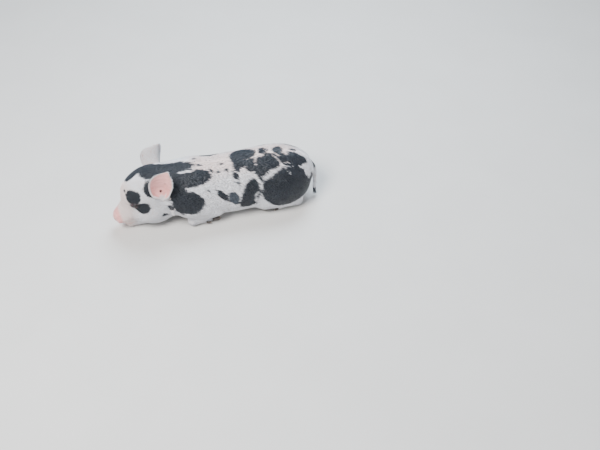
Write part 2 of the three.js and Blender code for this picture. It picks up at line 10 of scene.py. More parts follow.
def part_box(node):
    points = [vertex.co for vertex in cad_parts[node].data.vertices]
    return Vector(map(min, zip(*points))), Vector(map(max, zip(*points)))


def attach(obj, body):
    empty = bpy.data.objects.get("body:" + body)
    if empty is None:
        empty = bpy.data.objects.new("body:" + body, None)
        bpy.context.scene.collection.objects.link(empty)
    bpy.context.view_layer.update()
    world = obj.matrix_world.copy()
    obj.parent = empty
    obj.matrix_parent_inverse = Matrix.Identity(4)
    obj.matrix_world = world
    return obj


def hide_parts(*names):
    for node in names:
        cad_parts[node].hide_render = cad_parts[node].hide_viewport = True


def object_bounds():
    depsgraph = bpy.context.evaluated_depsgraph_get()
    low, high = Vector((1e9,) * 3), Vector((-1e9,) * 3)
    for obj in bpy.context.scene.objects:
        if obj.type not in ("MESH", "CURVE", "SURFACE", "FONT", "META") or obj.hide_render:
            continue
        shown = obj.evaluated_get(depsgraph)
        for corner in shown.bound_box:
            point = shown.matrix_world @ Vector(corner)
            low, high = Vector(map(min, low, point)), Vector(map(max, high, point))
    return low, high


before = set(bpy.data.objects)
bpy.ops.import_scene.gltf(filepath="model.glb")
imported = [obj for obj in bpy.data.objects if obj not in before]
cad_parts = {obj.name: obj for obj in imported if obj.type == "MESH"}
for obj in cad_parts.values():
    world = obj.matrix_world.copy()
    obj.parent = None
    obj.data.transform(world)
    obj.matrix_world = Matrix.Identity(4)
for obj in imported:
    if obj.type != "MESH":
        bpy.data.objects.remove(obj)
cad_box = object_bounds()

# Trunk and neck. A plump barrel of chest, belly and rump, with a short thick neck, as soft flesh.
# It is drawn in millimetres as rounded blobs and tapering limbs that melt into each other, and
# scaled to metres when a mesh is made of it.
MM = 0.001


def blob(p, centre, radii):
    q = (p - np.float32(centre)) / np.float32(radii)
    inner = np.sqrt((q * q).sum(1))
    slope = np.sqrt(((q / np.float32(radii)) ** 2).sum(1))
    return inner * (inner - 1) / np.maximum(slope, 1e-6)


def limb(p, a, ra, b, rb):
    a, b = np.float32(a), np.float32(b)
    along = b - a
    t = np.clip((p - a) @ along / (along @ along), 0, 1)
    away = p - a - t[:, None] * along
    return np.sqrt((away * away).sum(1)) - (ra + (rb - ra) * t)


def melt(a, b, radius):
    h = np.maximum(radius - np.abs(a - b), 0) / radius
    return np.minimum(a, b) - h * h * radius / 4


def carve(a, b, radius):
    """Shape a with shape b cut out of it, and an edge rounded by that radius."""
    return -melt(-a, b, radius)


def trunk(p):
    d = melt(blob(p, (-34, 0, 53), (60, 44, 45)), blob(p, (30, 0, 50.5), (92, 49, 51.4)), 26)
    d = melt(d, blob(p, (105, 0, 53.5), (68, 49, 49.5)), 26)
    return melt(d, limb(p, (-42, 0, 57), 42, (-86, 0, 70), 36.5), 24)


# Skull and jaws. The head turns a little to the left about the neck. It has a domed forehead, full
# cheeks, a short dished muzzle and a soft lower jaw that lies on the floor.
HEAD_TURN = math.radians(6)
HEAD_PIVOT = np.float32([-85, 0, 60])


def turned(p, angle):
    c, s = math.cos(angle), math.sin(angle)
    turn = np.float32([[c, -s, 0], [s, c, 0], [0, 0, 1]])
    return (np.float32(p) - HEAD_PIVOT) @ turn.T + HEAD_PIVOT


def head_place(place):
    """Where one point of the head lies when the head is turned."""
    return turned(np.array([place]), HEAD_TURN)[0]


def mirrored(h):
    """Places with y counted outwards, so that one drawing serves both sides."""
    return h * np.float32([1, 0, 1]) + np.abs(h) * np.float32([0, 1, 0])


def skull(h):
    d = melt(blob(h, (-103, 0, 75), (36, 34, 33)), blob(h, (-125, 0, 69), (24, 25, 24)), 14)
    for a, ra, b, rb in (
        ((-128, 0, 60), 21, (-140, 0, 43), 15),
        ((-118, 0, 42), 25, (-143, 0, 32), 15),
        ((-138, 0, 30), 14.5, (-158, 0, 27), 12),
        ((-100, 0, 19.5), 20.5, (-142, 0, 9), 9.8),
    ):
        d = melt(d, limb(h, a, ra, b, rb), 14)
    d = melt(d, blob(h, (-76, 0, 36), (30, 28, 26)), 14)
    side = mirrored(h)
    d = melt(d, blob(side, (-101, 18, 37), (31, 17, 26)), 12)
    return melt(d, limb(side, (-119, 21, 75), 8.5, (-138, 17, 70), 6.5), 9)


# Snout. A flat disc of tough wet gristle with a raised rim, on the end of the muzzle, with two
# nostrils bored into it and folds of skin across the bridge behind it.
SNOUT = {"centre": (-161.5, 0, 25.5), "half": 13.5, "tall": 10.5, "thick": 3.5, "tilt": math.radians(8)}
NOSTRIL = {"out": 5.4, "up": 0.6, "radii": (4.2, 1.5, 2.3), "lean": math.radians(20)}
BRIDGE_FOLDS = ((-152.0, 0.55), (-147.0, 0.5), (-141.0, 0.3))


def step(x, low, high):
    t = np.clip((x - low) / (high - low), 0, 1)
    return t * t * (3 - 2 * t)


def on_snout(h):
    """Places seen from the disc: x from front to back, y outwards, z up its face."""
    q = h - np.float32(SNOUT["centre"])
    c, s = math.cos(SNOUT["tilt"]), math.sin(SNOUT["tilt"])
    return np.stack([q[:, 0] * c + q[:, 2] * s, q[:, 1], q[:, 2] * c - q[:, 0] * s], 1)


def snout(h):
    q = on_snout(h)
    reach = np.sqrt((q[:, 1] / SNOUT["half"]) ** 2 + (q[:, 2] / SNOUT["tall"]) ** 2)
    rim = (reach - 1) * (SNOUT["half"] + SNOUT["tall"]) / 2
    edge = 2.2
    side = rim + edge
    face = np.abs(q[:, 0]) - SNOUT["thick"] + edge
    d = np.hypot(np.maximum(side, 0), np.maximum(face, 0)) + np.minimum(np.maximum(side, face), 0) - edge
    dish = 0.7 * step(-q[:, 0], 0, 2) * (1 - step(reach, 0.55, 0.82))
    notch = 0.6 * np.exp(-((q[:, 1] / 1.0) ** 2)) * step(-q[:, 2], 3, 9)
    return d + dish + notch


def nostrils(h):
    q = on_snout(h)
    q[:, 1] = np.abs(q[:, 1])
    q = q - np.float32([-SNOUT["thick"], NOSTRIL["out"], NOSTRIL["up"]])
    c, s = math.cos(NOSTRIL["lean"]), math.sin(NOSTRIL["lean"])
    q = np.stack([q[:, 0], q[:, 1] * c + q[:, 2] * s, q[:, 2] * c - q[:, 1] * s], 1)
    comma = limb(q, (0, 0, 1.2), 0.9, (1, 1.9, 2.6), 0.35)
    return melt(blob(q, (0, 0, 0), NOSTRIL["radii"]), comma, 0.8)


def bridge_relief(h):
    relief = 0
    for place, depth in BRIDGE_FOLDS:
        bow = place + 0.018 * h[:, 1] ** 2 - 0.12 * (h[:, 2] - 38)
        relief = relief + depth * np.exp(-(((h[:, 0] - bow) / 1.1) ** 2))
    return relief * step(h[:, 2], 24, 32) * (1 - step(h[:, 0], -138, -132))


# Mouth. A closed slit from cheek to cheek under the snout, with the upper lip rolled over it and
# a little smile up at its corner.
MOUTH = (
    (-119, 26, 29),
    (-123, 25, 25),
    (-131, 21, 20),
    (-141, 16.5, 16.5),
    (-150, 11, 14.5),
    (-154, 0, 14),
)
LIP = {"groove": 1.5, "groove_width": 0.85, "roll": 0.9, "roll_width": 2.3, "rise": 3.0}


def smooth_line(knots, t):
    """Points on the smooth line through the knots, with t from 0 at the first to 1 at the last."""
    knots = np.array(knots, float).reshape(len(knots), -1)
    last = len(knots) - 1
    ends = [[2 * knots[0] - knots[1]], knots, [2 * knots[-1] - knots[-2]]]
    padded = np.concatenate(ends)
    place = np.atleast_1d(t) * last
    k = np.clip(place.astype(int), 0, last - 1)
    s = (place - k)[:, None]
    a, b, c, d = padded[k], padded[k + 1], padded[k + 2], padded[k + 3]
    return 0.5 * (2 * b + (c - a) * s + (2 * a - 5 * b + 4 * c - d) * s**2 + (3 * b - a - 3 * c + d) * s**3)


def settle(field, p, rounds=3, limit=1.5):
    """Moves points onto the surface where the field is nought, along its slope."""
    e = 0.04
    for _ in range(rounds):
        d = field(p)
        ahead = [field(p + np.float32([e * (k == n) for n in range(3)])) for k in range(3)]
        slope = np.stack([(a - d) / e for a in ahead], 1)
        travel = -d / np.maximum((slope * slope).sum(1), 0.25)
        p = p + slope * np.clip(travel, -limit, limit)[:, None]
    return p


mouth_line = settle(skull, np.float32(smooth_line(MOUTH, np.linspace(0, 1, 44))))


def gap_to(line, p):
    """Distance from points to a line given as close points."""
    best = np.full(len(p), 1e9, np.float32)
    for q in line:
        best = np.minimum(best, ((p - q) ** 2).sum(1))
    return np.sqrt(best)


def mouth_relief(h):
    relief = np.zeros(len(h), np.float32)
    near = np.flatnonzero((h[:, 0] < -112) & (h[:, 2] < 38))
    side = mirrored(h[near])
    groove = gap_to(mouth_line, side)
    roll = gap_to(mouth_line + np.float32([0, 0.4, LIP["rise"]]), side)
    front = 0.35 + 0.65 * step(side[:, 1], 3, 11)
    cut = LIP["groove"] * np.exp(-((groove / LIP["groove_width"]) ** 2))
    swell = LIP["roll"] * np.exp(-((roll / LIP["roll_width"]) ** 2)) * front
    relief[near] = cut - swell
    return relief


# Eyelids. Thin folds of skin over a round eye, closed to a narrow slit, with a crease above the
# upper lid, a soft bag under the lower one and fine wrinkles over the brow.
EYE = {"centre": (-132.5, 21, 63.5), "radius": 6.6, "lid": 1.3, "slit": 1.15, "half_slit": 5.4}


def unit(v):
    v = np.array(v, float)
    return v / np.linalg.norm(v)


def unit_rows(v, least=0.0):
    return v / np.maximum(np.linalg.norm(v, axis=1), least)[:, None]


eye_out = unit((-3.2, 8, 0.6))
eye_length = np.array([0.82, 0.33, 0.42])
eye_along = unit(eye_length - eye_out * (eye_out @ eye_length))
eye_up = np.cross(eye_along, eye_out)
eye_up = eye_up * np.sign(eye_up[2])
eye_axes = np.float32([eye_along, eye_up, eye_out])


def eyelids(h, d):
    near = np.flatnonzero((h[:, 0] < -112) & (h[:, 0] > -152) & (h[:, 2] > 44) & (h[:, 2] < 84))
    side = mirrored(h[near])
    q = (side - np.float32(EYE["centre"])) @ eye_axes.T
    along, up, out = q[:, 0], q[:, 1] + 0.6, q[:, 2]
    away = np.sqrt((q * q).sum(1))
    shape = melt(d[near], away - EYE["radius"] - EYE["lid"], 4)
    ring = np.hypot(along / 1.25, up)
    crease = 0.7 * np.exp(-(((ring - 6.3) / 0.75) ** 2)) * step(up, 0.5, 3)
    bag = 0.45 * np.exp(-(((ring - 6.6) / 0.8) ** 2)) * step(-up, 1, 3.5)
    wrinkles = 0.22 * np.cos(up * 2.6 + along * 0.3) * np.exp(-(((ring - 11) / 3.2) ** 2)) * step(up, 3, 7)
    shape = shape + (crease + bag + wrinkles) * step(out, 0, 3)
    opening = EYE["slit"] * np.maximum(1 - (along / EYE["half_slit"]) ** 2, -1)
    slit = np.maximum(np.abs(up - 0.05 * along**2 * 0.3) - opening, 2.5 - out)
    shape = carve(shape, slit, 0.7)
    d = d.copy()
    d[near] = np.minimum(shape, away - EYE["radius"] + 0.35)
    return d


# Ears. Each is one upright cupped leaf of skin and gristle, rolled almost into a tube at its root,
# pricked and turned outwards. Low ridges fan up the hollow side from the ear hole.
EAR = {
    "spine": (
        (-87, 27, 73),
        (-87, 29, 82),
        (-86.5, 32, 93),
        (-84, 35.5, 106),
        (-80.5, 37, 116),
        (-77, 37.5, 124),
    ),
    "front": (4.5, 8.5, 17, 21, 16, 3),
    "back": (4.5, 8.5, 13, 15, 10.5, 2),
    "roll": (2.7, 2.3, 1.4, 0.95, 0.7, 0.5),
    "thick": (3.4, 2.8, 2.4, 2.1, 1.9, 1.7),
}
EARS = {"left": (-1, 0.0), "right": (1, 3.5)}
EAR_FACE = (-0.34, 0.9, 0.1)
EAR_HOLE = ((-90, 38, 91), 1.5, (-91, 27, 81), 1.5)
EAR_FOLD = ((-89, 37.5, 92), 1.3, (-82, 35.5, 103), 0.4)
EAR_CUP = (-91, 35, 86)
EAR_RIDGES = 0.3


def ear_leaf(side, back):
    """The middle of the leaf: places, directions into the hollow, half thickness, u, v and edge."""
    u, v = np.meshgrid(np.linspace(0, 1, 110), np.linspace(-1, 1, 80), indexing="ij")
    u, v = u.ravel(), v.ravel()
    knots = [(x + back, y * side, z) for x, y, z in EAR["spine"]]
    knots = turned(np.array(knots), HEAD_TURN)
    spine = smooth_line(knots, u)
    ahead = np.minimum(u + 0.01, 1)
    axis = unit_rows(smooth_line(knots, ahead) - smooth_line(knots, ahead - 0.01))
    face = head_place(HEAD_PIVOT + np.array(EAR_FACE) * (1, side, 1)) - HEAD_PIVOT
    open_way = unit_rows(face - axis * (axis @ face)[:, None])
    across = np.cross(axis, open_way)
    forwards = np.where(across[:, 0] < 0, 1, -1)
    at = {name: smooth_line(EAR[name], u)[:, 0] for name in ("front", "back", "roll", "thick")}
    half = np.where(v * forwards > 0, at["front"], at["back"])
    reach = half / np.sin(np.minimum(at["roll"], math.pi / 2))
    turn = v * at["roll"]
    inwards = open_way * np.cos(turn)[:, None] - across * np.sin(turn)[:, None]
    leaf = spine + across * (reach * np.sin(turn))[:, None]
    leaf = leaf + open_way * (reach * (1 - np.cos(turn)))[:, None]
    thick = at["thick"] / 2 * (1 - 0.4 * v * v)
    edge = (np.abs(v) > 0.999) | (u > 0.999) | (u < 0.001)
    return {
        "places": leaf - inwards * thick[:, None],
        "inwards": inwards,
        "axis": axis,
        "thick": thick,
        "u": u,
        "v": v * forwards,
        "edge": edge,
    }


ears = {name: ear_leaf(*place) for name, place in EARS.items()}
for leaf in ears.values():
    leaf["tree"] = kdtree.KDTree(len(leaf["places"]))
    for i, place in enumerate(leaf["places"]):
        leaf["tree"].insert(place, i)
    leaf["tree"].balance()
    leaf["low"] = leaf["places"].min(0) - 5
    leaf["high"] = leaf["places"].max(0) + 5


def nearest_on_ear(leaf, p):
    """Which of the points are near that ear, and the leaf's nearest place to each."""
    near = np.flatnonzero(((p > leaf["low"]) & (p < leaf["high"])).all(1))
    found = np.array([leaf["tree"].find(q)[1] for q in p[near]], int)
    return near, found


def off_ear(leaf, p, near, found):
    """How far those points lie towards the hollow side of the leaf, and how far from it in all."""
    away = p[near] - leaf["places"][found]
    return (away * leaf["inwards"][found]).sum(1), np.sqrt((away * away).sum(1))


def ear_shape(leaf, p):
    d = np.full(len(p), 1e3, np.float32)
    near, found = nearest_on_ear(leaf, p)
    if len(near):
        off, distance = off_ear(leaf, p, near, found)
        v, u = leaf["v"][found], leaf["u"][found]
        ridge = np.cos(v * 9 + 0.6) * EAR_RIDGES * np.exp(-((u - 0.42) / 0.2) ** 2) * (1 - v * v)
        flat = np.abs(off) - leaf["thick"][found] + np.where(off > 0, ridge, 0)
        round_edge = distance - leaf["thick"][found]
        d[near] = np.where(leaf["edge"][found], round_edge, flat)
    return d


# Tassels and tail. Two soft drops of flesh hang from the throat, and a thin tail hangs from the
# rump with a brush of hair at its end.
TASSEL = ((-81, 34, 58), (-78.5, 41, 51), (-78, 43, 41))
TASSEL_OUT = {-1: 2, 1: -1}
TASSEL_RADII = (3.0, 3.9, 2.4)
TAIL = (
    (158, 0, 63),
    (166, 0, 61.5),
    (172.5, -1, 56),
    (174.6, -4, 46),
    (174, -8, 33),
    (172.5, -12.5, 21),
    (171.5, -15.5, 12),
)
TAIL_RADII = (4.7, 2.8)


def tassels(p):
    h = turned(p, -HEAD_TURN)
    d = np.full(len(p), 1e3, np.float32)
    for side, out in TASSEL_OUT.items():
        root, middle, tip = [(x, (y + out) * side, z) for x, y, z in TASSEL]
        r = TASSEL_RADII
        drop = melt(limb(h, root, r[0], middle, r[1]), limb(h, middle, r[1], tip, r[2]), 1)
        d = np.minimum(d, drop)
    return d


def tail(p):
    knots = smooth_line(TAIL, np.linspace(0, 1, 13))
    radii = TAIL_RADII[0] + (TAIL_RADII[1] - TAIL_RADII[0]) * np.linspace(0, 1, 13) ** 0.7
    d = np.full(len(p), 1e3, np.float32)
    for k in range(len(knots) - 1):
        d = np.minimum(d, limb(p, knots[k], radii[k], knots[k + 1], radii[k + 1]))
    return d


# Legs. All four are folded under the body: the forelegs kneel with the hooves turned back, and the
# hind legs are tucked with the shank on the floor. y is counted outwards, and shift moves a leg.
LEG_SHIFT = {("fore", -1): 0, ("fore", 1): -3, ("hind", -1): 0, ("hind", 1): 5}
UPPER_LEG = {
    "fore": (((-38, 29, 52), (30, 16, 28)), ((-42, 30, 44), 17, (-4, 32, 31), 13)),
    "hind": (((116, 29, 42), (41, 21, 37)), ((104, 30, 40), 22, (80, 32, 27), 15)),
}
LOWER_LEG = {
    "fore": (
        ((-3, 34.5, 28), 12.5, (-42, 34, 11.5), 9.6),
        ((-43, 32, 8), 8.6, (-24, 30.5, 6.5), 7),
        ((-24, 30.5, 6.5), 7, (-12, 30, 6), 6.2),
    ),
    "hind": (
        ((80, 32, 22), 13, (137, 30, 13), 10),
        ((137, 29, 10), 9.5, (106, 29, 7), 7.2),
        ((106, 29, 7), 7.2, (93, 28, 6.5), 6.4),
    ),
}


def from_leg(p, side, shift):
    """Places as one leg is drawn, with y counted outwards."""
    return (p - np.float32([shift, 0, 0])) * np.float32([1, side, 1])


def with_legs(p, d):
    for (kind, side), shift in LEG_SHIFT.items():
        own = from_leg(p, side, shift)
        muscle, joint = UPPER_LEG[kind]
        d = melt(d, melt(blob(own, *muscle), limb(own, *joint), 15), 12)
        shank = limb(own, *LOWER_LEG[kind][0])
        for bone in LOWER_LEG[kind][1:]:
            shank = melt(shank, limb(own, *bone), 5)
        d = melt(d, shank, 5)
    return d


# Skin. One soft hide from the snout to the tail, without a seam. It lies under the tips of the coat
# by the coat's depth, is pressed flat where the animal lies, and has folds at neck, elbow and flank.
COAT = {"body": 1.3, "face": 0.7, "bare": 0.25}
FLOOR_LIFT = 0.12
FOLDS = (
    # x at the top, lean back towards the floor, depth, width, lowest and highest z
    (-62, -0.10, 0.9, 2.6, 12, 62),
    (-56, -0.16, 0.55, 2.2, 18, 70),
    (-69, -0.04, 0.5, 2.0, 10, 50),
    (64, 0.22, 0.7, 3.2, 10, 48),
)


def coat_depth(h):
    body = step(h[:, 0], -118, -92)
    bare = 1 - step(h[:, 0], -152, -136)
    depth = COAT["face"] + (COAT["body"] - COAT["face"]) * body
    return depth + (COAT["bare"] - depth) * bare


def ripple(p):
    """The slight unevenness of soft flesh over ribs and muscle, in millimetres."""
    x, y, z = p[:, 0], p[:, 1], p[:, 2]
    slow = np.sin(x / 13 + np.sin(z / 17) * 1.4) * np.sin(z / 11 + y / 19 + 0.7)
    quick = np.sin(x / 5.3 + z / 7.1) * np.sin(y / 6.2 - z / 5.7 + x / 21)
    return 0.34 * slow + 0.12 * quick


def hide(p):
    """Distance to the skin: inside it is below nought."""
    p = np.float32(p)
    h = turned(p, -HEAD_TURN)
    head = skull(h)
    front = np.flatnonzero(h[:, 0] < -104)
    part, face = h[front], head[front]
    face = melt(face, snout(part), 3) + bridge_relief(part) + mouth_relief(part)
    face = carve(face, nostrils(part), 1.0)
    head[front] = eyelids(part, face)
    body = trunk(p)
    d = with_legs(p, melt(body, head, np.float32(10)))
    for top, lean, depth, width, low, high in FOLDS:
        line = p[:, 0] - top - lean * (60 - p[:, 2])
        reach = step(p[:, 2], low, low + 10) * (1 - step(p[:, 2], high - 14, high))
        reach = reach * step(np.abs(p[:, 1]), 14, 30)
        d = d + depth * np.exp(-((line / width) ** 2)) * reach
    d = d + coat_depth(h) + ripple(p) * step(h[:, 0], -118, -96)
    d = melt(d, tail(p) + 0.3, 5)
    d = melt(d, tassels(p) + 0.3, 2.5)
    for leaf in ears.values():
        d = melt(d, ear_shape(leaf, p) + 0.1, 2.6)
    d = carve(d, limb(mirrored(h), *EAR_HOLE), 1.5)
    return carve(d, p[:, 2] - FLOOR_LIFT, 1.6)


def lattice(low, high, cell, fine_until, coarse):
    """Places along one axis, close together up to fine_until and wider after it."""
    near = np.arange(low, fine_until, cell)
    far = np.arange(near[-1] + coarse, high + coarse, coarse)
    return np.concatenate([near, far])


def skin_net(axes, field):
    """A net of four-sided faces over the surface where the field is nought."""
    shape = [len(a) for a in axes]
    values = np.empty(shape, np.float32)
    yz = np.stack(np.meshgrid(axes[1], axes[2], indexing="ij"), -1).reshape(-1, 2)
    slab = 12
    for i in range(0, shape[0], slab):
        xs = axes[0][i : i + slab]
        p = np.concatenate([np.repeat(xs, len(yz))[:, None], np.tile(yz, (len(xs), 1))], 1)
        values[i : i + slab] = field(p).reshape(len(xs), shape[1], shape[2])
    stride = np.array([shape[1] * shape[2], shape[2], 1])
    quads, spots = [], []
    for axis in range(3):
        others = [k for k in range(3) if k != axis]
        u, v = (axis + 1) % 3, (axis + 2) % 3
        here = [slice(1, -1)] * 3
        there = [slice(1, -1)] * 3
        here[axis], there[axis] = slice(0, -1), slice(1, None)
        a, b = values[tuple(here)], values[tuple(there)]
        index = np.argwhere((a < 0) != (b < 0))
        t = a[tuple(index.T)] / (a[tuple(index.T)] - b[tuple(index.T)])
        outside = a[tuple(index.T)] >= 0
        for k in others:
            index[:, k] += 1
        spot = np.stack([axes[k][index[:, k]] for k in range(3)], 1)
        spot[:, axis] += t * (axes[axis][index[:, axis] + 1] - axes[axis][index[:, axis]])
        at = index @ stride
        quad = np.stack([at, at - stride[u], at - stride[u] - stride[v], at - stride[v]], 1)
        quad[outside] = quad[outside][:, ::-1]
        quads.append(quad)
        spots.append(spot)
    quads, spots = np.concatenate(quads), np.concatenate(spots)
    _, corner = np.unique(quads.ravel(), return_inverse=True)
    corner = corner.ravel()
    count = np.bincount(corner)
    points = [np.bincount(corner, weights=np.repeat(spots[:, k], 4)) / count for k in range(3)]
    return np.stack(points, 1), corner.reshape(-1, 4)


def even_out(points, quads, field, rounds):
    """Slides the net's knots to the middle of their neighbours, on the surface."""
    for _ in range(rounds):
        total = np.zeros((len(points), 3))
        count = np.zeros(len(points))
        for k in range(4):
            a, b = quads[:, k], quads[:, (k + 1) % 4]
            for m, n in ((a, b), (b, a)):
                count += np.bincount(m, minlength=len(points))
                for c in range(3):
                    total[:, c] += np.bincount(m, weights=points[n, c], minlength=len(points))
        points = settle(field, points * 0.5 + total / count[:, None] * 0.5, 1)
    return points


HEAD_CELL, BODY_CELL, SIDE_CELL = 1.1, 2.2, 1.25
net_axes = [
    lattice(-177, 181, HEAD_CELL, -62, BODY_CELL),
    np.arange(-60, 60, SIDE_CELL),
    np.arange(-2.5, 129, SIDE_CELL),
]
knots, quads = skin_net(net_axes, hide)
knots = even_out(knots, quads, hide, 3)

eye_places = [head_place(np.array(EYE["centre"]) * (1, side, 1)) for side in (-1, 1)]
low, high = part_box("eye_left")
SHIFT = (np.array(low) + np.array(high)) / 2 / MM - eye_places[0]
SHIFT[2] = 0.0


def to_frame(p):
    """Millimetres of the drawing to metres of the frame."""
    return (np.asarray(p, float) + SHIFT) * MM


def add_mesh(name, points, faces, material):
    mesh = bpy.data.meshes.new(name)
    mesh.from_pydata(to_frame(points).tolist(), [], [list(map(int, f)) for f in faces])
    mesh.update()
    mesh.polygons.foreach_set("use_smooth", np.ones(len(mesh.polygons), bool))
    mesh.materials.append(material)
    piece = bpy.data.objects.new(name, mesh)
    bpy.context.scene.collection.objects.link(piece)
    return piece


def refine(points, quads, centres, radius):
    """Halves the faces near the centres and settles the new knots on the skin."""
    mesh = bmesh.new()
    for p in points:
        mesh.verts.new(p)
    mesh.verts.ensure_lookup_table()
    near = np.zeros(len(points), bool)
    for c, r in zip(centres, radius):
        near |= ((points - c) ** 2).sum(1) < r * r
    for q in quads:
        mesh.faces.new([mesh.verts[i] for i in q])
    mesh.verts.index_update()
    edges = [e for e in mesh.edges if near[e.verts[0].index] and near[e.verts[1].index]]
    bmesh.ops.subdivide_edges(mesh, edges=edges, cuts=1, use_grid_fill=True)
    mesh.verts.index_update()
    moved = np.array([v.co for v in mesh.verts])
    faces = [[v.index for v in f.verts] for f in mesh.faces]
    mesh.free()
    return moved, faces


EYE_FINE, EYE_FINEST, SNOUT_FINE, MOUTH_FINE = 12, 9, 17, 4
mouth_places = [head_place(q * (1, side, 1)) for side in (-1, 1) for q in mouth_line[::5]]
fine_places = eye_places + [head_place(SNOUT["centre"])] + mouth_places
fine_radii = [EYE_FINE, EYE_FINE, SNOUT_FINE] + [MOUTH_FINE] * len(mouth_places)
knots, faces = refine(knots, quads, fine_places, fine_radii)
knots = settle(hide, knots, 2)
knots, faces = refine(knots, faces, eye_places, [EYE_FINEST, EYE_FINEST])
knots = settle(hide, knots, 2)


# The pattern of the coat: black patches on white, named by where they lie. Each is an oval on the
# body, placed by x, by the angle down from the spine (left side below nought), half length, half
# width and slant in degrees, in millimetres. White ones are cut out of the black.
BLACK = {
    "mane": (-72, -3, 46, 13.5, 0),
    "nape": (-72, -24, 24, 24, 0),
    "neck_top": (-36, -31, 36, 14, 3),
    "neck_corner": (-13, -30, 11, 10, 0),
    "behind_ear": (-60, -58, 14, 40, 0),
    "shoulder": (-46, -78, 25, 21, 0),
    "nape_dot_far": (-25, 14, 3.2, 3, 0),
    "nape_dot": (-18, -7, 4, 3.6, 20),
    "back_dot": (17, -11, 4.2, 3.4, -60),
    "back_dot_low": (23, -25, 3.6, 2.6, -60),
    "back_dot_front": (-2, -21, 4.2, 3, -50),
    "back_dot_faint": (8, -26, 2.8, 1.4, -60),
    "loin_dash": (35, -38.5, 9, 4.6, -69),
    "loin_dot": (37, -53, 5.2, 2.8, -60),
    "loin_dot_small": (31, -56, 2.4, 1.2, -60),
    "side_dot": (-12, -57, 3.0, 1.8, -60),
    "belt": (10, -72, 12.5, 5.2, -54),
    "grey_side": (28, -84, 16, 8.8, -75),
    "flank": (57, -78, 27, 15, 71),
    "flank_low": (50, -101, 14, 13, 0),
    "saddle": (54, 2, 22, 24, 0),
    "saddle_lobe_front": (40, -19, 6.5, 10, 0),
    "saddle_lobe_back": (62, -24, 8.5, 12, 0),
    "loin_round": (88, 3, 8.5, 10, 0),
    "tall": (92, -22, 21, 15, -6),
    "tall_tip": (80, -38, 11.5, 17, 0),
    "croup_round": (113, -1, 9.5, 11, 0),
    "croup_join": (124, -15, 13, 8.5, 0),
    "rump": (134, -23, 24, 15.5, -8),
    "tail_dot": (138, 1, 5, 4, -10),
    "thigh": (120, -80, 47, 37, 0),
    "thigh_back": (150, -92, 18, 24, 0),
    "far_shoulder": (-40, 62, 26, 20, 10),
    "far_neck": (-66, 48, 14, 16, 0),
    "far_back": (2, 36, 18, 12, -20),
    "far_back_dot": (28, 58, 4, 4, 0),
    "far_side": (22, 92, 15, 12, 15),
    "far_side_dot": (-2, 74, 5, 3.6, 0),
    "far_flank": (66, 66, 17, 22, -15),
    "far_loin": (92, 40, 10, 8, 0),
    "far_thigh": (128, 78, 36, 28, 0),
    "far_rump": (140, 30, 12, 8, -10),
    "far_belly_dot": (48, 108, 6, 5, 0),
}
WHITE = {
    "mane_slit": (-36, -17, 8, 1.1, 0),
    "croup_line": (108, -22, 14, 1.1, -58),
    "croup_fleck": (125, -10, 2.2, 2.0, 0),
    "band": (97, -44.5, 25, 3.2, 25),
    "loin_gap": (79, -8.5, 9, 1.3, 0),
    "band_low": (73, -63, 11, 2.4, -75),
    "tail_triangle": (158, -52, 7, 20, 0),
    "fleck": (67, -79, 4.5, 1.6, 70),
    "fleck_low": (64, -97, 5, 2.4, 70),
    "hock": (110, -136, 60, 10, 0),
    "far_hock": (112, 128, 60, 14, 0),
}
ON_HEAD = ("mane", "nape")
# The face's own patches: centre in the head before its turn (y counted from the left, below
# nought), and radii.
FACE_BLACK = {
    "over_eye": ((-134, -24, 78.5), (12.5, 16, 11.8)),
    "under_eye": ((-122.5, -31, 57), (13, 13, 12.5)),
    "ear_band": ((-105, -28, 91), (10, 16, 15)),
    "lids": ((-133, -26, 65), (7.5, 7, 5)),
    "crown": ((-101, 4, 108), (17, 24, 14)),
    "forehead_far": ((-126, 14, 98), (20, 16, 14)),
    "far_eye": ((-128, 33, 68), (16, 14, 17)),
    "bridge_dot": ((-144, -9, 84), (1.9, 2.4, 1.9)),
    "jaw_dot": ((-89.5, -35, 34), (5, 6, 2.8)),
    "far_jaw": ((-96, 38, 34), (12, 12, 9)),
}
# Heights in millimetres: the tail is black below the first and above the second, and a tassel is
# black above its own. The left ear's back is black up to this share of its rim, and the right ear
# up to this share of its length.
TAIL_BLACK = (18.5, 53)
TASSEL_BLACK = 52
EAR_BLACK = {"left": 0.9, "right": 0.16}
BODY_RADIUS = 50.0


def wander(p, size):
    """Smooth unevenness from -1 to 1 with lumps of about that size."""
    q = p / size
    a = np.sin(q[:, 0] * 2.1 + 1.3 * np.sin(q[:, 1] * 1.7 + q[:, 2]))
    b = np.sin(q[:, 2] * 2.6 + 1.1 * np.sin(q[:, 0] * 2.3 - q[:, 1]))
    c = np.sin(q[:, 1] * 2.3 + 1.2 * np.sin(q[:, 2] * 1.9 + q[:, 0] * 0.7))
    return (a + b + c) / 3


def spine_angle(p):
    """Degrees down from the spine: below nought on the left side."""
    return np.degrees(np.arctan2(p[:, 1], p[:, 2] - BODY_RADIUS))


def in_patch(p, patch):
    """Depth inside one oval patch in millimetres."""
    x, at, long, wide, slant = patch
    dx = p[:, 0] - x
    dy = ((spine_angle(p) - at + 180) % 360 - 180) * math.radians(BODY_RADIUS)
    dy = dy * (1 if at < 0 else -1)
    c, s = math.cos(math.radians(slant)), math.sin(math.radians(slant))
    reach = np.hypot((dx * c + dy * s) / long, (dy * c - dx * s) / wide)
    return (1 - reach) * min(long, wide)


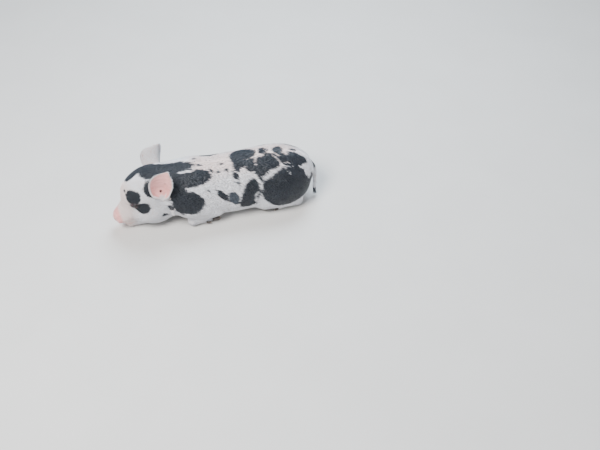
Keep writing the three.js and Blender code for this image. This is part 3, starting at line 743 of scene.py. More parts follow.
def blackness(p):
    """Depth inside the black pattern in millimetres; below nought it is white."""
    p = np.asarray(p, float)
    shifted = wander(p, 11) * 1.3 + wander(p, 4.2) * 0.9
    black = np.max([in_patch(p, patch) for patch in BLACK.values()], 0)
    for patch in WHITE.values():
        black = np.minimum(black, -in_patch(p, patch))
    h = turned(p, -HEAD_TURN).astype(float)
    face = np.full(len(p), -1e3)
    for centre, radii in FACE_BLACK.values():
        q = np.sqrt((((h - centre) / radii) ** 2).sum(1))
        face = np.maximum(face, (1 - q) * min(radii))
    crown = np.max([in_patch(p, BLACK[name]) for name in ON_HEAD], 0)
    black = np.where(h[:, 0] < -84, np.maximum(face, crown), np.maximum(black, face))
    black = black + shifted * np.clip((black + 12) / 10, 0, 1)
    for name, leaf in ears.items():
        near, found = nearest_on_ear(leaf, np.float32(p))
        off, distance = off_ear(leaf, p, near, found)
        u, v = leaf["u"][found], np.abs(leaf["v"][found])
        if name == "left":
            value = np.minimum(-off * 2.5, (EAR_BLACK[name] - np.maximum(u, v)) * 12)
        else:
            value = (EAR_BLACK[name] - u) * 20
        share = (distance < 3.2) & (u > 0.12)
        black[near] = np.where(share, value, black[near])
    on_tail = (tail(np.float32(p)) < 2) & (p[:, 0] > 164)
    black[on_tail] = np.maximum(p[on_tail, 2] - TAIL_BLACK[1], TAIL_BLACK[0] - p[on_tail, 2])
    hanging = tassels(np.float32(p)) < 1
    black[hanging] = p[hanging, 2] - TASSEL_BLACK
    return black


def mixed_hair(p):
    """How much white hair grows among the black, which makes it blue grey."""
    grey = in_patch(p, BLACK["grey_side"]) / 5
    return np.clip(np.maximum(grey, in_patch(p, BLACK["loin_dot"]) / 4), 0, 0.35)


# Hide material. Thin skin seen between short flat hairs: pink under white hair and slate under
# black, with the lie of the coat as fine streaks and the bare snout, lips and ears in flesh pink,
# and painted shade in deep brown inside the nostrils, the ear hole, the fold in the ear and the mouth slit.
HAIR_SLANT = math.radians(28)
WHITE_HIDE = (0.74, 0.66, 0.64, 1)
PINK_HIDE = (0.80, 0.40, 0.38, 1)
BLACK_HIDE = (0.010, 0.011, 0.015, 1)


def blank_material(name):
    material = bpy.data.materials.new(name)
    material.use_nodes = True
    return material, material.node_tree, material.node_tree.nodes["Principled BSDF"]


def node(tree, kind, **settings):
    made = tree.nodes.new(kind)
    for name, value in settings.items():
        setattr(made, name, value)
    return made


def scalar(tree, operation, a, b=0.0, clamp=False):
    made = node(tree, "ShaderNodeMath", operation=operation, use_clamp=clamp)
    for socket, value in zip(made.inputs, (a, b)):
        if isinstance(value, (int, float)):
            socket.default_value = value
        else:
            tree.links.new(value, socket)
    return made.outputs[0]


def blend_colour(tree, factor, a, b):
    made = node(tree, "ShaderNodeMix", data_type="RGBA")
    if isinstance(factor, (int, float)):
        made.inputs[0].default_value = factor
    else:
        tree.links.new(factor, made.inputs[0])
    for socket, value in ((made.inputs[6], a), (made.inputs[7], b)):
        if isinstance(value, tuple):
            socket.default_value = value
        else:
            tree.links.new(value, socket)
    return made.outputs[2]


def body_place(tree):
    return node(tree, "ShaderNodeTexCoord").outputs["Object"]


def streaks(tree, along, across):
    """Noise from 0 to 1, drawn out along the lie of the coat."""
    turn = node(tree, "ShaderNodeMapping")
    turn.inputs["Rotation"].default_value = (0, HAIR_SLANT, 0)
    turn.inputs["Scale"].default_value = (along, across, across)
    tree.links.new(body_place(tree), turn.inputs["Vector"])
    noise = node(tree, "ShaderNodeTexNoise")
    noise.inputs["Scale"].default_value = 1.0
    noise.inputs["Detail"].default_value = 3.0
    tree.links.new(turn.outputs[0], noise.inputs["Vector"])
    return noise.outputs["Fac"]


def add_bump(tree, shader, height, strength, distance):
    bump = node(tree, "ShaderNodeBump")
    bump.inputs["Strength"].default_value = strength
    bump.inputs["Distance"].default_value = distance
    tree.links.new(height, bump.inputs["Height"])
    tree.links.new(bump.outputs[0], shader.inputs["Normal"])


def measure(tree, name):
    return node(tree, "ShaderNodeAttribute", attribute_name=name).outputs["Fac"]


def hide_material():
    material, tree, shader = blank_material("hide")
    fine = streaks(tree, 110, 900)
    broad = streaks(tree, 45, 260)
    ragged = scalar(tree, "MULTIPLY", scalar(tree, "SUBTRACT", broad, 0.5), 7.0)
    edge = scalar(tree, "ADD", measure(tree, "blackness"), ragged)
    black = scalar(tree, "ADD", edge, 0.5, clamp=True)
    pink = measure(tree, "bare")
    shade = scalar(tree, "MULTIPLY", scalar(tree, "SUBTRACT", fine, 0.3), 0.5, clamp=True)
    white = blend_colour(tree, shade, WHITE_HIDE, (0.60, 0.47, 0.45, 1))
    dark = blend_colour(tree, shade, BLACK_HIDE, (0.03, 0.034, 0.042, 1))
    haired = blend_colour(tree, black, white, dark)
    mottled = scalar(tree, "MULTIPLY", scalar(tree, "SUBTRACT", broad, 0.35), 2.2, clamp=True)
    flesh = blend_colour(tree, mottled, PINK_HIDE, (0.62, 0.27, 0.25, 1))
    colour = blend_colour(tree, pink, haired, flesh)
    # Painted shade: where the hollow attribute is high, in the nostrils, ear hole, ear fold and mouth slit,
    # the colour goes to a deep brown.
    colour = blend_colour(tree, measure(tree, "hollow"), colour, (0.16, 0.06, 0.055, 1))
    tree.links.new(colour, shader.inputs["Base Color"])
    dull = scalar(tree, "SUBTRACT", 0.52, scalar(tree, "MULTIPLY", pink, 0.2))
    tree.links.new(dull, shader.inputs["Roughness"])
    shader.inputs["Subsurface Weight"].default_value = 0.12
    shader.inputs["Subsurface Radius"].default_value = (1.0, 0.35, 0.25)
    shader.inputs["Subsurface Scale"].default_value = 0.004
    pores = node(tree, "ShaderNodeTexVoronoi", feature="SMOOTH_F1")
    pores.inputs["Scale"].default_value = 620
    tree.links.new(body_place(tree), pores.inputs["Vector"])
    grain = node(tree, "ShaderNodeMix", data_type="FLOAT")
    tree.links.new(pink, grain.inputs[0])
    tree.links.new(fine, grain.inputs[2])
    tree.links.new(pores.outputs["Distance"], grain.inputs[3])
    add_bump(tree, shader, grain.outputs[0], 0.5, 0.0006)
    return material


skin = add_mesh("skin", knots, faces, hide_material())


def give(piece, name, values):
    made = piece.data.attributes.new(name, "FLOAT", "POINT")
    made.data.foreach_set("value", np.asarray(values, np.float32))


def ear_share(p):
    """1 on the ears and 0 away from them, and 1 in the hollow side of an ear."""
    on_ear = np.zeros(len(p))
    hollow = np.zeros(len(p))
    for leaf in ears.values():
        near, found = nearest_on_ear(leaf, p)
        off, distance = off_ear(leaf, p, near, found)
        share = 1 - step(distance, 1.6, 3.1)
        on_ear[near] = np.maximum(on_ear[near], share)
        inner = share * step(off, 0.1, 0.7) * (1 - step(np.abs(leaf["v"][found]), 0.82, 0.97))
        hollow[near] = np.maximum(hollow[near], inner)
    return on_ear, hollow


def bareness(p):
    """How bare and pink the skin is, and how deep in a hole it lies, for painted shade in the holes."""
    h = turned(p, -HEAD_TURN).astype(float)
    disc = on_snout(np.float32(h))
    muzzle = 1 - step(disc[:, 0], 1.5, 9)
    lip = np.zeros(len(p))
    near = np.flatnonzero((h[:, 0] < -112) & (h[:, 2] < 38))
    side = mirrored(h[near])
    front = 1 - step(h[near, 0], -146, -130)
    lip[near] = (1 - step(gap_to(mouth_line, np.float32(side)), 1.0, 2.6)) * (0.25 + 0.75 * front)
    eye = np.min([((p - place) ** 2).sum(1) for place in eye_places], 0) ** 0.5
    lids = (1 - step(eye, 7.4, 9.5)) * 0.3
    _, hollow = ear_share(p)
    away = mirrored(h)
    cup = 1 - step(np.linalg.norm(away - EAR_CUP, axis=1), 8, 11)
    bare = np.maximum.reduce([muzzle, lip, lids, hollow, cup])
    # Painted shade: the nostrils, the ear hole, the fold in the ear and the mouth slit are darkened as they
    # sink in.
    hole_shade = 1 - step(nostrils(np.float32(h)), -0.2, 0.9)
    hole_shade = np.maximum(hole_shade, 0.85 * (1 - step(limb(np.float32(away), *EAR_HOLE), -0.2, 1.5)))
    hole_shade = np.maximum(hole_shade, 0.35 * (1 - step(limb(np.float32(away), *EAR_FOLD), 0, 1.6)))
    hole_shade[near] = np.maximum(hole_shade[near], 0.75 * (1 - step(gap_to(mouth_line, np.float32(side)), 0.3, 0.9)))
    return bare, hole_shade


bare, hole_shade = bareness(knots)
pattern = blackness(knots)
give(skin, "blackness", pattern)
give(skin, "bare", bare)
# The hollow attribute carries the painted shade of nostrils, ear hole, ear fold and mouth slit.
give(skin, "hollow", hole_shade)
FLESH = ["head", "neck", "torso", "tail"]
for side in ("left", "right"):
    FLESH += [f"{part}_{side}" for part in ("ear", "piri_piri", "foreleg", "hindleg")]
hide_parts(*FLESH)
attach(skin, "root")


# Eyes. Wet dark balls under the lids, of which only a glint shows in the slit.
def ball_mesh(rings, sides):
    """Places on a ball of radius 1 with its pole towards +Y, and its faces."""
    points = [(0, 1, 0)]
    for i in range(1, rings):
        a = math.pi * i / rings
        for j in range(sides):
            b = 2 * math.pi * j / sides
            points.append((math.sin(a) * math.cos(b), math.cos(a), math.sin(a) * math.sin(b)))
    points.append((0, -1, 0))
    faces = [(0, 1 + (j + 1) % sides, 1 + j) for j in range(sides)]
    for i in range(rings - 2):
        for j in range(sides):
            a, b = 1 + i * sides + j, 1 + i * sides + (j + 1) % sides
            faces.append((a, b, b + sides, a + sides))
    last = len(points) - 1
    faces += [(last, last - sides + j, last - sides + (j + 1) % sides) for j in range(sides)]
    return np.array(points), faces


def eye_material():
    material, tree, shader = blank_material("wet_eye")
    noise = node(tree, "ShaderNodeTexNoise")
    noise.inputs["Scale"].default_value = 900
    tree.links.new(body_place(tree), noise.inputs["Vector"])
    colour = blend_colour(tree, noise.outputs["Fac"], (0.012, 0.008, 0.006, 1), (0.06, 0.03, 0.018, 1))
    tree.links.new(colour, shader.inputs["Base Color"])
    shader.inputs["Roughness"].default_value = 0.06
    shader.inputs["Coat Weight"].default_value = 1.0
    shader.inputs["Coat Roughness"].default_value = 0.03
    return material


wet_eye = eye_material()
ball, ball_faces = ball_mesh(24, 32)
for side_name, centre in zip(("left", "right"), eye_places):
    eye = add_mesh(f"eyeball_{side_name}", centre + ball * EYE["radius"], ball_faces, wet_eye)
    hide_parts(f"eye_{side_name}")
    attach(eye, "root")

# Hooves. Each foot has two pointed claws of dark horn side by side and two small dew claws behind
# them, grown out of the skin. Faint rings cross the horn, and its tip is worn pale.
FOOT = {
    "fore": {"root": (-10, 30, 6), "way": 1, "width": 7.2, "height": 9.0, "length": 14.0},
    "hind": {"root": (91, 28, 6), "way": -1, "width": 7.4, "height": 9.5, "length": 15.0},
}
CLAW = {"apart": 3.75, "flare": 0.6, "drop": -1.2}
DEW_CLAW = {"back": 11, "out": 7.6, "up": -2, "width": 4.4, "height": 4.4, "length": 8, "flare": 3}


def horn_material():
    material, tree, shader = blank_material("horn")
    rings = node(tree, "ShaderNodeTexWave", wave_type="BANDS", bands_direction="X")
    rings.inputs["Scale"].default_value = 260
    rings.inputs["Distortion"].default_value = 2.5
    rings.inputs["Detail"].default_value = 3
    tree.links.new(body_place(tree), rings.inputs["Vector"])
    ringed = scalar(tree, "MULTIPLY", rings.outputs["Fac"], 0.4)
    dark_horn = blend_colour(tree, ringed, (0.05, 0.042, 0.038, 1), (0.16, 0.13, 0.11, 1))
    colour = blend_colour(tree, measure(tree, "tip"), dark_horn, (0.34, 0.28, 0.23, 1))
    tree.links.new(colour, shader.inputs["Base Color"])
    shader.inputs["Roughness"].default_value = 0.42
    add_bump(tree, shader, rings.outputs["Fac"], 0.4, 0.0003)
    return material


def claw(heel, toe, width, height, inner):
    """One claw: a blunt cone with a flat sole, and a flatter face towards its neighbour."""
    rings, sides = 16, 20
    inner_flat, sole, worn_from, worn_over = 0.82, -0.78, 0.72, 0.28
    heel, toe = np.array(heel, float), np.array(toe, float)
    way = unit(toe - heel)
    across = unit(np.cross((0, 0, 1), way))
    up = np.cross(way, across)
    length = np.linalg.norm(toe - heel)
    points, tips = [], []
    for i in range(rings + 1):
        t = i / rings
        swell = (0.44 + 0.06 * math.sin(t * 2.2)) * math.sqrt(max(1 - t**2.6, 0.0))
        for j in range(sides):
            a = 2 * math.pi * j / sides
            y, z = math.cos(a), math.sin(a)
            y *= inner_flat if y * inner > 0 else 1.0
            z = max(z, sole) + 0.12 * t
            points.append(heel + way * length * t + across * y * swell * width + up * z * swell * height)
            tips.append(max(0.0, t - worn_from) / worn_over)
    faces = [tuple(range(sides))[::-1]]
    for i in range(rings):
        for j in range(sides):
            a, b = i * sides + j, i * sides + (j + 1) % sides
            faces.append((a, b, b + sides, a + sides))
    return np.array(points), faces, tips


def add_claws(name, parts, nodes):
    points, faces, tips = [], [], []
    for part_points, part_faces, part_tips in parts:
        start = sum(len(q) for q in points)
        points.append(part_points)
        faces += [tuple(i + start for i in f) for f in part_faces]
        tips += part_tips
    piece = add_mesh(name, np.concatenate(points), faces, horn)
    give(piece, "tip", tips)
    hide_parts(*nodes)
    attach(piece, "root")


horn = horn_material()
for (kind, side), shift in LEG_SHIFT.items():
    foot = FOOT[kind]
    leg_name = f"{kind}_{'left' if side < 0 else 'right'}"
    main_claws, dew_claws = [], []
    for out in (1, -1):
        heel = np.array(foot["root"]) + (0, out * CLAW["apart"], 0)
        toe = heel + (foot["way"] * foot["length"], out * CLAW["flare"], CLAW["drop"])
        spur_root = (-foot["way"] * DEW_CLAW["back"], out * DEW_CLAW["out"], DEW_CLAW["up"])
        spur = np.array(foot["root"]) + spur_root
        spur_tip = spur + (foot["way"] * DEW_CLAW["length"], out * DEW_CLAW["flare"], 0)
        place = np.array((1, side, 1))
        moved = np.array((shift, 0, 0))
        inner = -out * side * foot["way"]
        large = (foot["width"], foot["height"], inner)
        small = (DEW_CLAW["width"], DEW_CLAW["height"], inner)
        main_claws.append(claw(heel * place + moved, toe * place + moved, *large))
        dew_claws.append(claw(spur * place + moved, spur_tip * place + moved, *small))
    add_claws(f"hooves_{leg_name}", main_claws, [f"hoof_{leg_name}_{w}" for w in ("outer", "inner")])
    add_claws(f"dewclaws_{leg_name}", dew_claws, [f"dewclaw_{leg_name}_{w}" for w in ("outer", "inner")])

# Coat. Short straight glossy hair that lies flat, back and down along the body and away from the
# snout on the face. Each lock is a thin solid sliver with its root in the skin, and the locks
# overlap like shingles. They are longest on the body and shortest on the muzzle and the ears.
SEED = 11
rng = np.random.default_rng(SEED)
skin_tree = BVHTree.FromPolygons([tuple(q) for q in knots], [tuple(map(int, f)) for f in faces])
HAIR = {
    # length and width in millimetres, and how many locks lie over each other
    "body": (7.6, 0.90, 2.6),
    "face": (4.0, 0.50, 1.8),
    "muzzle": (2.3, 0.34, 1.2),
    "leg": (4.6, 0.55, 1.9),
    "ear": (3.4, 0.42, 1.1),
    "tail": (5.5, 0.55, 2.0),
}
SLANT = {"back": 12, "side": 38, "thigh": 12}
FACE_WHORL = (-162, 0, 34)
LOCK_FILL = 0.55
# The rest of a lock is looked for from this far above the skin, so that it keeps to its own side of
# a thin ear. Its colour is read between root and tip, where it shows.
LOOK_FROM = 0.8
SEEN_ROOT, SEEN_TIP = 0.35, 0.65
# The coat's depth on ears and tail, the lowest place of hair over the floor, both in millimetres,
# and the clear space kept inside the outer box, in metres.
SHORT_ROOM = 0.35
LOWEST_HAIR = {"coat": 0.25, "loose": 0.4}
BOX_GAP = 2e-4
LOCKS_IN_PIECE = 19000


def part_shares(p):
    """How far each point belongs to face, muzzle, leg, ear and tail, from 0 to 1."""
    h = turned(p, -HEAD_TURN)
    leg = np.zeros(len(p))
    for (kind, side), shift in LEG_SHIFT.items():
        own = from_leg(p, side, shift)
        for bone in LOWER_LEG[kind]:
            leg = np.maximum(leg, 1 - step(limb(own, *bone), -0.5, 2.5))
    on_ear, _ = ear_share(p)
    on_tail = (1 - step(tail(p), 0.5, 2.5)) * step(p[:, 0], 163, 168)
    hanging = 1 - step(tassels(p), 0.3, 1.5)
    return {
        "face": 1 - step(h[:, 0], -112, -88),
        "muzzle": 1 - step(h[:, 0], -146, -130),
        "leg": leg * (1 - step(p[:, 2], 22, 34)),
        "ear": np.maximum(on_ear, hanging),
        "tail": on_tail,
    }


def hair_size(p):
    size = np.tile(HAIR["body"], (len(p), 1))
    for name, share in part_shares(p).items():
        size = size + (HAIR[name] - size) * share[:, None]
    return size


def hair_lie(p, normals):
    """Unit directions in which the hair lies, along the skin."""
    side = np.sign(p[:, 1])
    angle = np.arctan2(np.abs(p[:, 1]), p[:, 2] - BODY_RADIUS)
    slant = SLANT["back"] + (SLANT["side"] - SLANT["back"]) * np.sin(np.clip(angle, 0, math.pi))
    slant = np.radians(slant + SLANT["thigh"] * step(p[:, 0], 70, 120))
    down = np.stack([np.zeros(len(p)), side * np.cos(angle), -np.sin(angle)], 1)
    lie = np.cos(slant)[:, None] * [1, 0, 0] + np.sin(slant)[:, None] * down
    h = turned(p, -HEAD_TURN)
    away = h - np.float32(FACE_WHORL)
    away = turned(away + HEAD_PIVOT, HEAD_TURN) - HEAD_PIVOT
    away = unit_rows(away)
    share = step(h[:, 0], -104, -76)[:, None]
    lie = away * (1 - share) + lie * share
    for (kind, leg_side), shift in LEG_SHIFT.items():
        own = from_leg(p, leg_side, shift)
        for bone in LOWER_LEG[kind]:
            near = (1 - step(limb(own, *bone), -0.5, 3.0))[:, None]
            way = unit(np.array(bone[2]) - bone[0]) * (1, leg_side, 1)
            lie = lie * (1 - near) + way * near
    for leaf in ears.values():
        near, found = nearest_on_ear(leaf, p)
        _, distance = off_ear(leaf, p, near, found)
        share = (1 - step(distance, 2.5, 6))[:, None]
        lie[near] = lie[near] * (1 - share) + leaf["axis"][found] * share
    lie = np.where((tassels(p) < 1)[:, None], [0, 0, -1], lie)
    line = smooth_line(TAIL, np.linspace(0, 1, 25))
    near = np.flatnonzero((tail(p) < 1.5) & (p[:, 0] > 163))
    place = np.argmin(((p[near, None] - line[None, :-1]) ** 2).sum(2), 1)
    lie[near] = (line[1:] - line[:-1])[place]
    bend = np.radians(wander(p, 9) * 13 + rng.normal(0, 5, len(p)))[:, None]
    lie = lie - normals * (lie * normals).sum(1)[:, None]
    lie = unit_rows(lie, 1e-6)
    return lie * np.cos(bend) + np.cross(normals, lie) * np.sin(bend)


def on_skin(p):
    """Nearest places on the skin and the outward directions there."""
    found = [skin_tree.find_nearest(q) for q in p.tolist()]
    return np.array([f[0] for f in found]), np.array([f[1] for f in found])


fans = np.array([(f[0], f[k], f[k + 1]) for f in faces for k in range(1, len(f) - 1)])
corner_a, corner_b, corner_c = knots[fans[:, 0]], knots[fans[:, 1]], knots[fans[:, 2]]
fan_area = np.linalg.norm(np.cross(corner_b - corner_a, corner_c - corner_a), axis=1) / 2
fan_middle = ((corner_a + corner_b + corner_c) / 3).astype(np.float32)
fan_size = hair_size(fan_middle)
haired = 1 - step(np.maximum(bare, hole_shade)[fans].max(1), 0.35, 0.7)
haired = haired * step(fan_middle[:, 2], 0.6, 3.0)
density = fan_size[:, 2] / (LOCK_FILL * fan_size[:, 0] * fan_size[:, 1]) * haired
chance = np.cumsum(fan_area * density)
COUNT_SHARE = 1.0
lock_count = int(chance[-1] * COUNT_SHARE)
picked = np.searchsorted(chance, rng.random(lock_count) * chance[-1])
s, t = rng.random((2, lock_count, 1))
s, t = np.where(s + t > 1, 1 - s, s), np.where(s + t > 1, 1 - t, t)
lock_root = corner_a[picked] * (1 - s - t) + corner_b[picked] * s + corner_c[picked] * t
_, root_normal = on_skin(lock_root)
lock_size = hair_size(np.float32(lock_root)) * rng.uniform(0.78, 1.15, (lock_count, 1))
lock_lie = hair_lie(np.float32(lock_root), root_normal)
above = lock_root + root_normal * LOOK_FROM
lock_middle, middle_normal = on_skin(above + lock_lie * lock_size[:, :1] * 0.5)
lock_tip, tip_normal = on_skin(above + lock_lie * lock_size[:, :1])
coat_room = coat_depth(turned(np.float32(lock_root), -HEAD_TURN))
shares = part_shares(np.float32(lock_root))
coat_room = coat_room + (SHORT_ROOM - coat_room) * np.maximum(shares["ear"], shares["tail"])

# The seven corners of one lock: two and a crown at the root, the same at the middle, and the tip.
LOCK_TRIANGLES = np.array([
    (0, 1, 2), (0, 2, 5), (0, 5, 3), (2, 1, 4), (2, 4, 5),
    (1, 0, 3), (1, 3, 4), (3, 5, 6), (5, 4, 6), (4, 3, 6),
])
LOCK_ALONG = (0, 0, 0, 0.5, 0.5, 0.5, 1)
PATCH = np.array([(-1, -1), (1, -1), (0, -0.6), (-0.8, 0), (0.8, 0), (0, 0.1), (0, 1)]) * 0.0015


def lock_corners(root, middle, tip, side, up, middle_up, width, height):
    """Corners of many locks, which lie with their sides along side and their crowns along up."""
    width, height = width[:, None], height[:, None]
    return np.stack([
        root + side * width * 0.4 - up * 0.2,
        root - side * width * 0.4 - up * 0.2,
        root + up * height * 0.15,
        middle + side * width * 0.5 + middle_up * height * 0.2,
        middle - side * width * 0.5 + middle_up * height * 0.2,
        middle + middle_up * height * 0.48,
        tip,
    ], 1)


def map_along(p):
    """The place from nose to tail on the coat's map."""
    return (p[:, 0] + 180) / 365


def add_locks(name, corners, uv, shade, warm, material, slot):
    """Makes one piece of many locks, each with its own patch of the map and its own shade."""
    count = len(corners)
    points = to_frame(corners.reshape(-1, 3))
    low, high = np.array(cad_box[0]), np.array(cad_box[1])
    points = np.clip(points, low + BOX_GAP, high - BOX_GAP)
    triangles = (np.arange(count)[:, None, None] * len(LOCK_ALONG) + LOCK_TRIANGLES).reshape(-1)
    mesh = bpy.data.meshes.new(name)
    mesh.vertices.add(len(points))
    mesh.vertices.foreach_set("co", points.ravel())
    mesh.loops.add(len(triangles))
    mesh.loops.foreach_set("vertex_index", triangles)
    mesh.polygons.add(len(triangles) // 3)
    mesh.polygons.foreach_set("loop_start", np.arange(0, len(triangles), 3))
    mesh.polygons.foreach_set("use_smooth", np.ones(len(triangles) // 3, bool))
    mesh.update(calc_edges=True)
    layer = mesh.uv_layers.new(name="OFBake")
    places = (uv[:, None] + PATCH).reshape(-1, 2)
    layer.data.foreach_set("uv", places[triangles].ravel())
    mesh.materials.append(material)
    piece = bpy.data.objects.new(name, mesh)
    bpy.context.scene.collection.objects.link(piece)
    give(piece, "shade", np.repeat(shade, len(LOCK_ALONG)))
    give(piece, "warm", np.repeat(warm, len(LOCK_ALONG)))
    give(piece, "along", np.tile(LOCK_ALONG, count))
    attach(piece, "root")


def hair_material(name, dark, pale, warm, roughness):
    material, tree, shader = blank_material(name)
    fine = streaks(tree, 160, 1400)
    shade = scalar(tree, "ADD", measure(tree, "shade"), fine)
    mixed = scalar(tree, "MULTIPLY", shade, 0.6, clamp=True)
    colour = blend_colour(tree, mixed, dark, pale)
    colour = blend_colour(tree, measure(tree, "warm"), colour, warm)
    colour = blend_colour(tree, scalar(tree, "MULTIPLY", measure(tree, "along"), 0.3), colour, pale)
    tree.links.new(colour, shader.inputs["Base Color"])
    shader.inputs["Roughness"].default_value = roughness
    shader.inputs["Specular IOR Level"].default_value = 0.55
    add_bump(tree, shader, fine, 0.25, 0.0002)
    return material


# dark, pale and warm shade, and roughness
WHITE_HAIR = ((0.62, 0.60, 0.62, 1), (0.90, 0.91, 0.95, 1), (0.80, 0.60, 0.53, 1), 0.48)
BLACK_HAIR = ((0.004, 0.0046, 0.0065, 1), (0.026, 0.033, 0.046, 1), (0.15, 0.19, 0.24, 1), 0.31)
white_hair = hair_material("white_hair", *WHITE_HAIR)
black_hair = hair_material("black_hair", *BLACK_HAIR)


def warmth(p):
    """Where the skin shows pink through white hair: along the spine, the muzzle and the brow."""
    h = turned(p, -HEAD_TURN)
    back = (1 - step(np.abs(spine_angle(p)), 12, 52)) * step(p[:, 0], -45, -20)
    back = back * (1 - step(p[:, 0], 120, 165))
    front = 1 - step(h[:, 0], -150, -128)
    return np.clip(0.75 * back + 0.8 * front, 0, 1)


round_body = np.arctan2(lock_root[:, 1], lock_root[:, 2] - 45) / 6.4 + 0.5
body_map = np.stack([map_along(lock_root), round_body], 1)
lock_seen = lock_root * SEEN_ROOT + lock_tip * SEEN_TIP
lock_black = blackness(lock_seen) + rng.normal(0, 0.7, lock_count) > 0
lock_side = np.cross(root_normal, lock_lie)
body_map[:, 0] += 0.35 * (ear_share(np.float32(lock_root))[1] > 0.5)
lift = rng.uniform(0.25, 0.62, (lock_count, 1)) * coat_room[:, None]
same_side = (root_normal * middle_normal).sum(1) > 0.15
same_side &= (root_normal * tip_normal).sum(1) > 0.1
all_corners = lock_corners(
    lock_root,
    lock_middle,
    lock_tip + tip_normal * lift,
    lock_side,
    root_normal,
    middle_normal,
    lock_size[:, 1],
    coat_room,
)
all_corners[:, :, 2] = np.maximum(all_corners[:, :, 2], LOWEST_HAIR["coat"])
lock_shade = np.clip(rng.normal(0.35, 0.28, lock_count) + 0.25 * wander(lock_root, 5), 0, 1.2)
lock_warm = np.where(lock_black, mixed_hair(lock_seen), warmth(np.float32(lock_seen)))
lock_warm = np.clip(lock_warm + rng.normal(0, 0.12, lock_count) * (lock_warm > 0.02), 0, 1)
on_face = (shares["face"] > 0.5) & (shares["ear"] < 0.5)
BELTS = {"neck": (-200, -50), "chest": (-50, 0), "belly": (0, 60), "loin": (60, 112), "rump": (112, 200)}
groups = {"face": on_face, "ear": shares["ear"] >= 0.5, "tail": shares["tail"] >= 0.5}
for members in groups.values():
    members &= same_side
rest = same_side & ~(groups["face"] | groups["ear"] | groups["tail"])
for belt, (first, last) in BELTS.items():
    groups[belt] = rest & (lock_root[:, 0] >= first) & (lock_root[:, 0] < last)
for group, members in groups.items():
    for colour, chosen, material in (("white", ~lock_black, white_hair), ("black", lock_black, black_hair)):
        own = np.flatnonzero(members & chosen)
        for number, first in enumerate(range(0, len(own), LOCKS_IN_PIECE), 1):
            take = own[first : first + LOCKS_IN_PIECE]
            label = f"{colour}_hair_{group}" + (f"_{number}" if len(own) > LOCKS_IN_PIECE else "")
            look = (body_map[take], lock_shade[take], lock_warm[take])
            add_locks(label, all_corners[take], *look, material, f"{colour}_coat")

# Loose hairs. A brush of longer locks ends the tail, pale down fringes the ears, and there are
# lashes on the upper lids and a few stiff whiskers on muzzle and chin.
BRUSH = {"locks": 60, "root": (171.7, -15.2, 14.5), "length": (8, 12.5), "width": 0.9}
LASHES = {"count": 18, "reach": 4.6, "width": 0.24}
WHISKERS = {"count": 34, "length": (5, 9), "width": 0.2}
FRINGE = {"count": 240, "length": (1.6, 3.2), "width": 0.34}


def add_loose(name, root, middle, tip, width, material, slot):
    """Thin hairs that stand free of the skin, given by root, middle and tip."""
    way = tip - root
    up = unit_rows(np.cross(way, (0.3, 0.5, 0.8)))
    side = unit_rows(np.cross(up, way))
    count = len(root)
    width = np.full(count, width)
    corners = lock_corners(root, middle, tip, side, up, up, width, width)
    corners[:, :, 2] = np.maximum(corners[:, :, 2], LOWEST_HAIR["loose"])
    place = np.stack([map_along(root), np.arange(count) / count * 0.9 + 0.05], 1)
    add_locks(name, corners, place, rng.uniform(0.1, 0.8, count), np.zeros(count), material, slot)


ring = 2 * math.pi * np.arange(BRUSH["locks"]) / BRUSH["locks"] * 3.236
spread = np.sqrt(rng.random(BRUSH["locks"]))[:, None]
outwards = np.stack([np.cos(ring), np.sin(ring), np.zeros(len(ring))], 1) * spread
brush_length = rng.uniform(*BRUSH["length"], len(ring))[:, None]
brush_root = np.array(BRUSH["root"]) + outwards * 2.0
brush_middle = brush_root + outwards * 1.1 - [0, 0, 1] * brush_length * 0.5
brush_tip = brush_root + outwards * 1.6 - [0, 0, 1] * brush_length
add_loose("tail_brush", brush_root, brush_middle, brush_tip, BRUSH["width"], black_hair, "black_coat")

for name, side in (("left", -1), ("right", 1)):
    across = np.linspace(-LASHES["reach"], LASHES["reach"], LASHES["count"])
    out = np.sqrt((EYE["radius"] + EYE["lid"]) ** 2 - across**2 - 1.2)
    rows = []
    for grow, height, beyond in ((1.0, 1.0, -0.3), (1.12, 1.3, 1.5), (1.3, 0.5, 3.2)):
        spot = np.stack([across * grow, np.full(len(across), height), out + beyond], 1) @ eye_axes
        spot = (spot + EYE["centre"]) * (1, side, 1)
        rows.append(turned(spot, HEAD_TURN).astype(float))
    add_loose(f"lashes_{name}", *rows, LASHES["width"], black_hair, "black_coat")

h = turned(fan_middle, -HEAD_TURN)
hairy = (h[:, 0] > -156) & (h[:, 0] < -132) & (h[:, 2] < 34)
hairy = hairy & (fan_middle[:, 2] > 3) & (np.abs(h[:, 1]) > 7)
picked = rng.choice(np.flatnonzero(hairy), WHISKERS["count"])
whisker_root = fan_middle[picked].astype(float)
_, whisker_normal = on_skin(whisker_root)
whisker_length = rng.uniform(*WHISKERS["length"], len(picked))[:, None]
whisker_way = whisker_normal * 0.75 + hair_lie(np.float32(whisker_root), whisker_normal) * 0.66
whisker_tip = whisker_root + whisker_way * whisker_length + [0.8, 0, -0.6]
whisker_middle = whisker_root + whisker_way * whisker_length * 0.5
whisker = (whisker_root, whisker_middle, whisker_tip)
add_loose("whiskers", *whisker, WHISKERS["width"], white_hair, "white_coat")

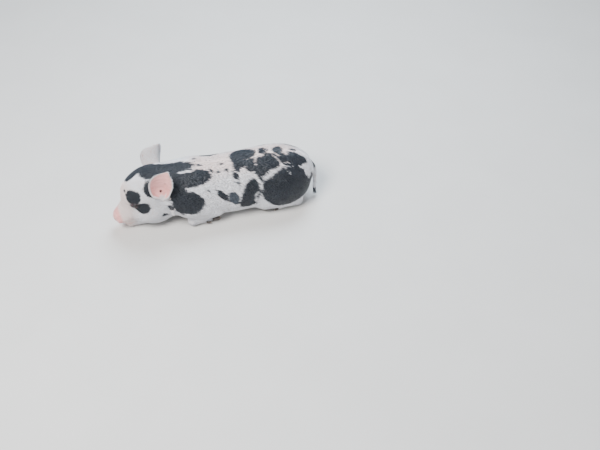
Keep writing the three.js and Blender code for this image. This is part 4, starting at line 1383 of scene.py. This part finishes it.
for name, leaf in ears.items():
    rim = np.flatnonzero(leaf["edge"] & (leaf["u"] > 0.38))
    picked = rng.choice(rim, FRINGE["count"])
    fringe_root = leaf["places"][picked]
    level = np.round(leaf["u"][picked], 3)
    middle_of = {round(u, 3): leaf["places"][np.abs(leaf["u"] - u) < 1e-3].mean(0) for u in set(level)}
    outwards = fringe_root - np.array([middle_of[round(u, 3)] for u in level])
    outwards = unit_rows(outwards, 1e-3)
    way = leaf["axis"][picked] * 0.85 + outwards * 0.4 + rng.normal(0, 0.12, (len(picked), 3))
    length = rng.uniform(*FRINGE["length"], len(picked))[:, None]
    fringe_middle = fringe_root + way * length * 0.5
    fringe_tip = fringe_root + way * length + leaf["inwards"][picked] * 0.4
    fringe = (fringe_root, fringe_middle, fringe_tip)
    add_loose(f"ear_fringe_{name}", *fringe, FRINGE["width"], white_hair, "white_coat")


# Floor. A plain pale studio floor of matt plaster.
def floor_material():
    material, tree, shader = blank_material("pale_floor")
    noise = node(tree, "ShaderNodeTexNoise")
    noise.inputs["Scale"].default_value = 9
    noise.inputs["Detail"].default_value = 4
    tree.links.new(body_place(tree), noise.inputs["Vector"])
    colour = blend_colour(tree, noise.outputs["Fac"], (0.60, 0.59, 0.57, 1), (0.66, 0.65, 0.63, 1))
    tree.links.new(colour, shader.inputs["Base Color"])
    shader.inputs["Roughness"].default_value = 0.9
    return material


FLOOR_HALF = 4.0
corners = [(x * FLOOR_HALF, y * FLOOR_HALF, 0) for x, y in ((-1, -1), (1, -1), (1, 1), (-1, 1))]
floor_mesh = bpy.data.meshes.new("floor")
floor_mesh.from_pydata(corners, [], [(0, 1, 2, 3)])
floor_mesh.materials.append(floor_material())
floor = bpy.data.objects.new("floor", floor_mesh)
bpy.context.scene.collection.objects.link(floor)

# Studio light. A large soft lamp high on the left, a cool sky lamp over the back, a low fill in
# front, and an even pale surround.
LAMPS = {
    # place in metres, size in metres, power in watts, colour
    "key": ((-0.7, -0.6, 1.4), 0.7, 48, (1.0, 0.98, 0.96)),
    "sky": ((0.35, 0.6, 1.2), 0.8, 30, (0.78, 0.89, 1.0)),
    "fill": ((0.9, -1.1, 0.7), 1.2, 6, (0.95, 0.97, 1.0)),
}
AIM = Vector((0, 0, 0.05))
for name, (place, size, power, tint) in LAMPS.items():
    lamp_data = bpy.data.lights.new(name, "AREA")
    lamp_data.shape = "DISK"
    lamp_data.size = size
    lamp_data.energy = power
    lamp_data.color = tint
    lamp = bpy.data.objects.new(name, lamp_data)
    lamp.location = place
    lamp.rotation_euler = (Vector(place) - AIM).to_track_quat("Z", "Y").to_euler()
    bpy.context.scene.collection.objects.link(lamp)
surround = bpy.data.worlds.new("surround")
surround.use_nodes = True
surround.node_tree.nodes["Background"].inputs["Color"].default_value = (0.78, 0.84, 0.92, 1)
surround.node_tree.nodes["Background"].inputs["Strength"].default_value = 0.36
bpy.context.scene.world = surround

# Camera. It stands about 1.3 m away on the left, above the shoulder, and looks down at the animal.
CAMERA = {"place": (-106.83, -967.64, 926.56), "azimuth": -14.867, "elevation": 45.256, "lens": 46.8}
camera_data = bpy.data.cameras.new("camera")
camera_data.lens = CAMERA["lens"]
camera_data.sensor_width = 36
camera = bpy.data.objects.new("camera", camera_data)
camera.location = to_frame(CAMERA["place"])
azimuth, elevation = math.radians(CAMERA["azimuth"]), math.radians(CAMERA["elevation"])
backwards = Vector(
    (math.sin(azimuth) * math.cos(elevation), -math.cos(azimuth) * math.cos(elevation), math.sin(elevation))
)
camera.rotation_mode = "QUATERNION"
camera.rotation_quaternion = (-backwards).to_track_quat("-Z", "Y")
bpy.context.scene.collection.objects.link(camera)
bpy.context.scene.camera = camera
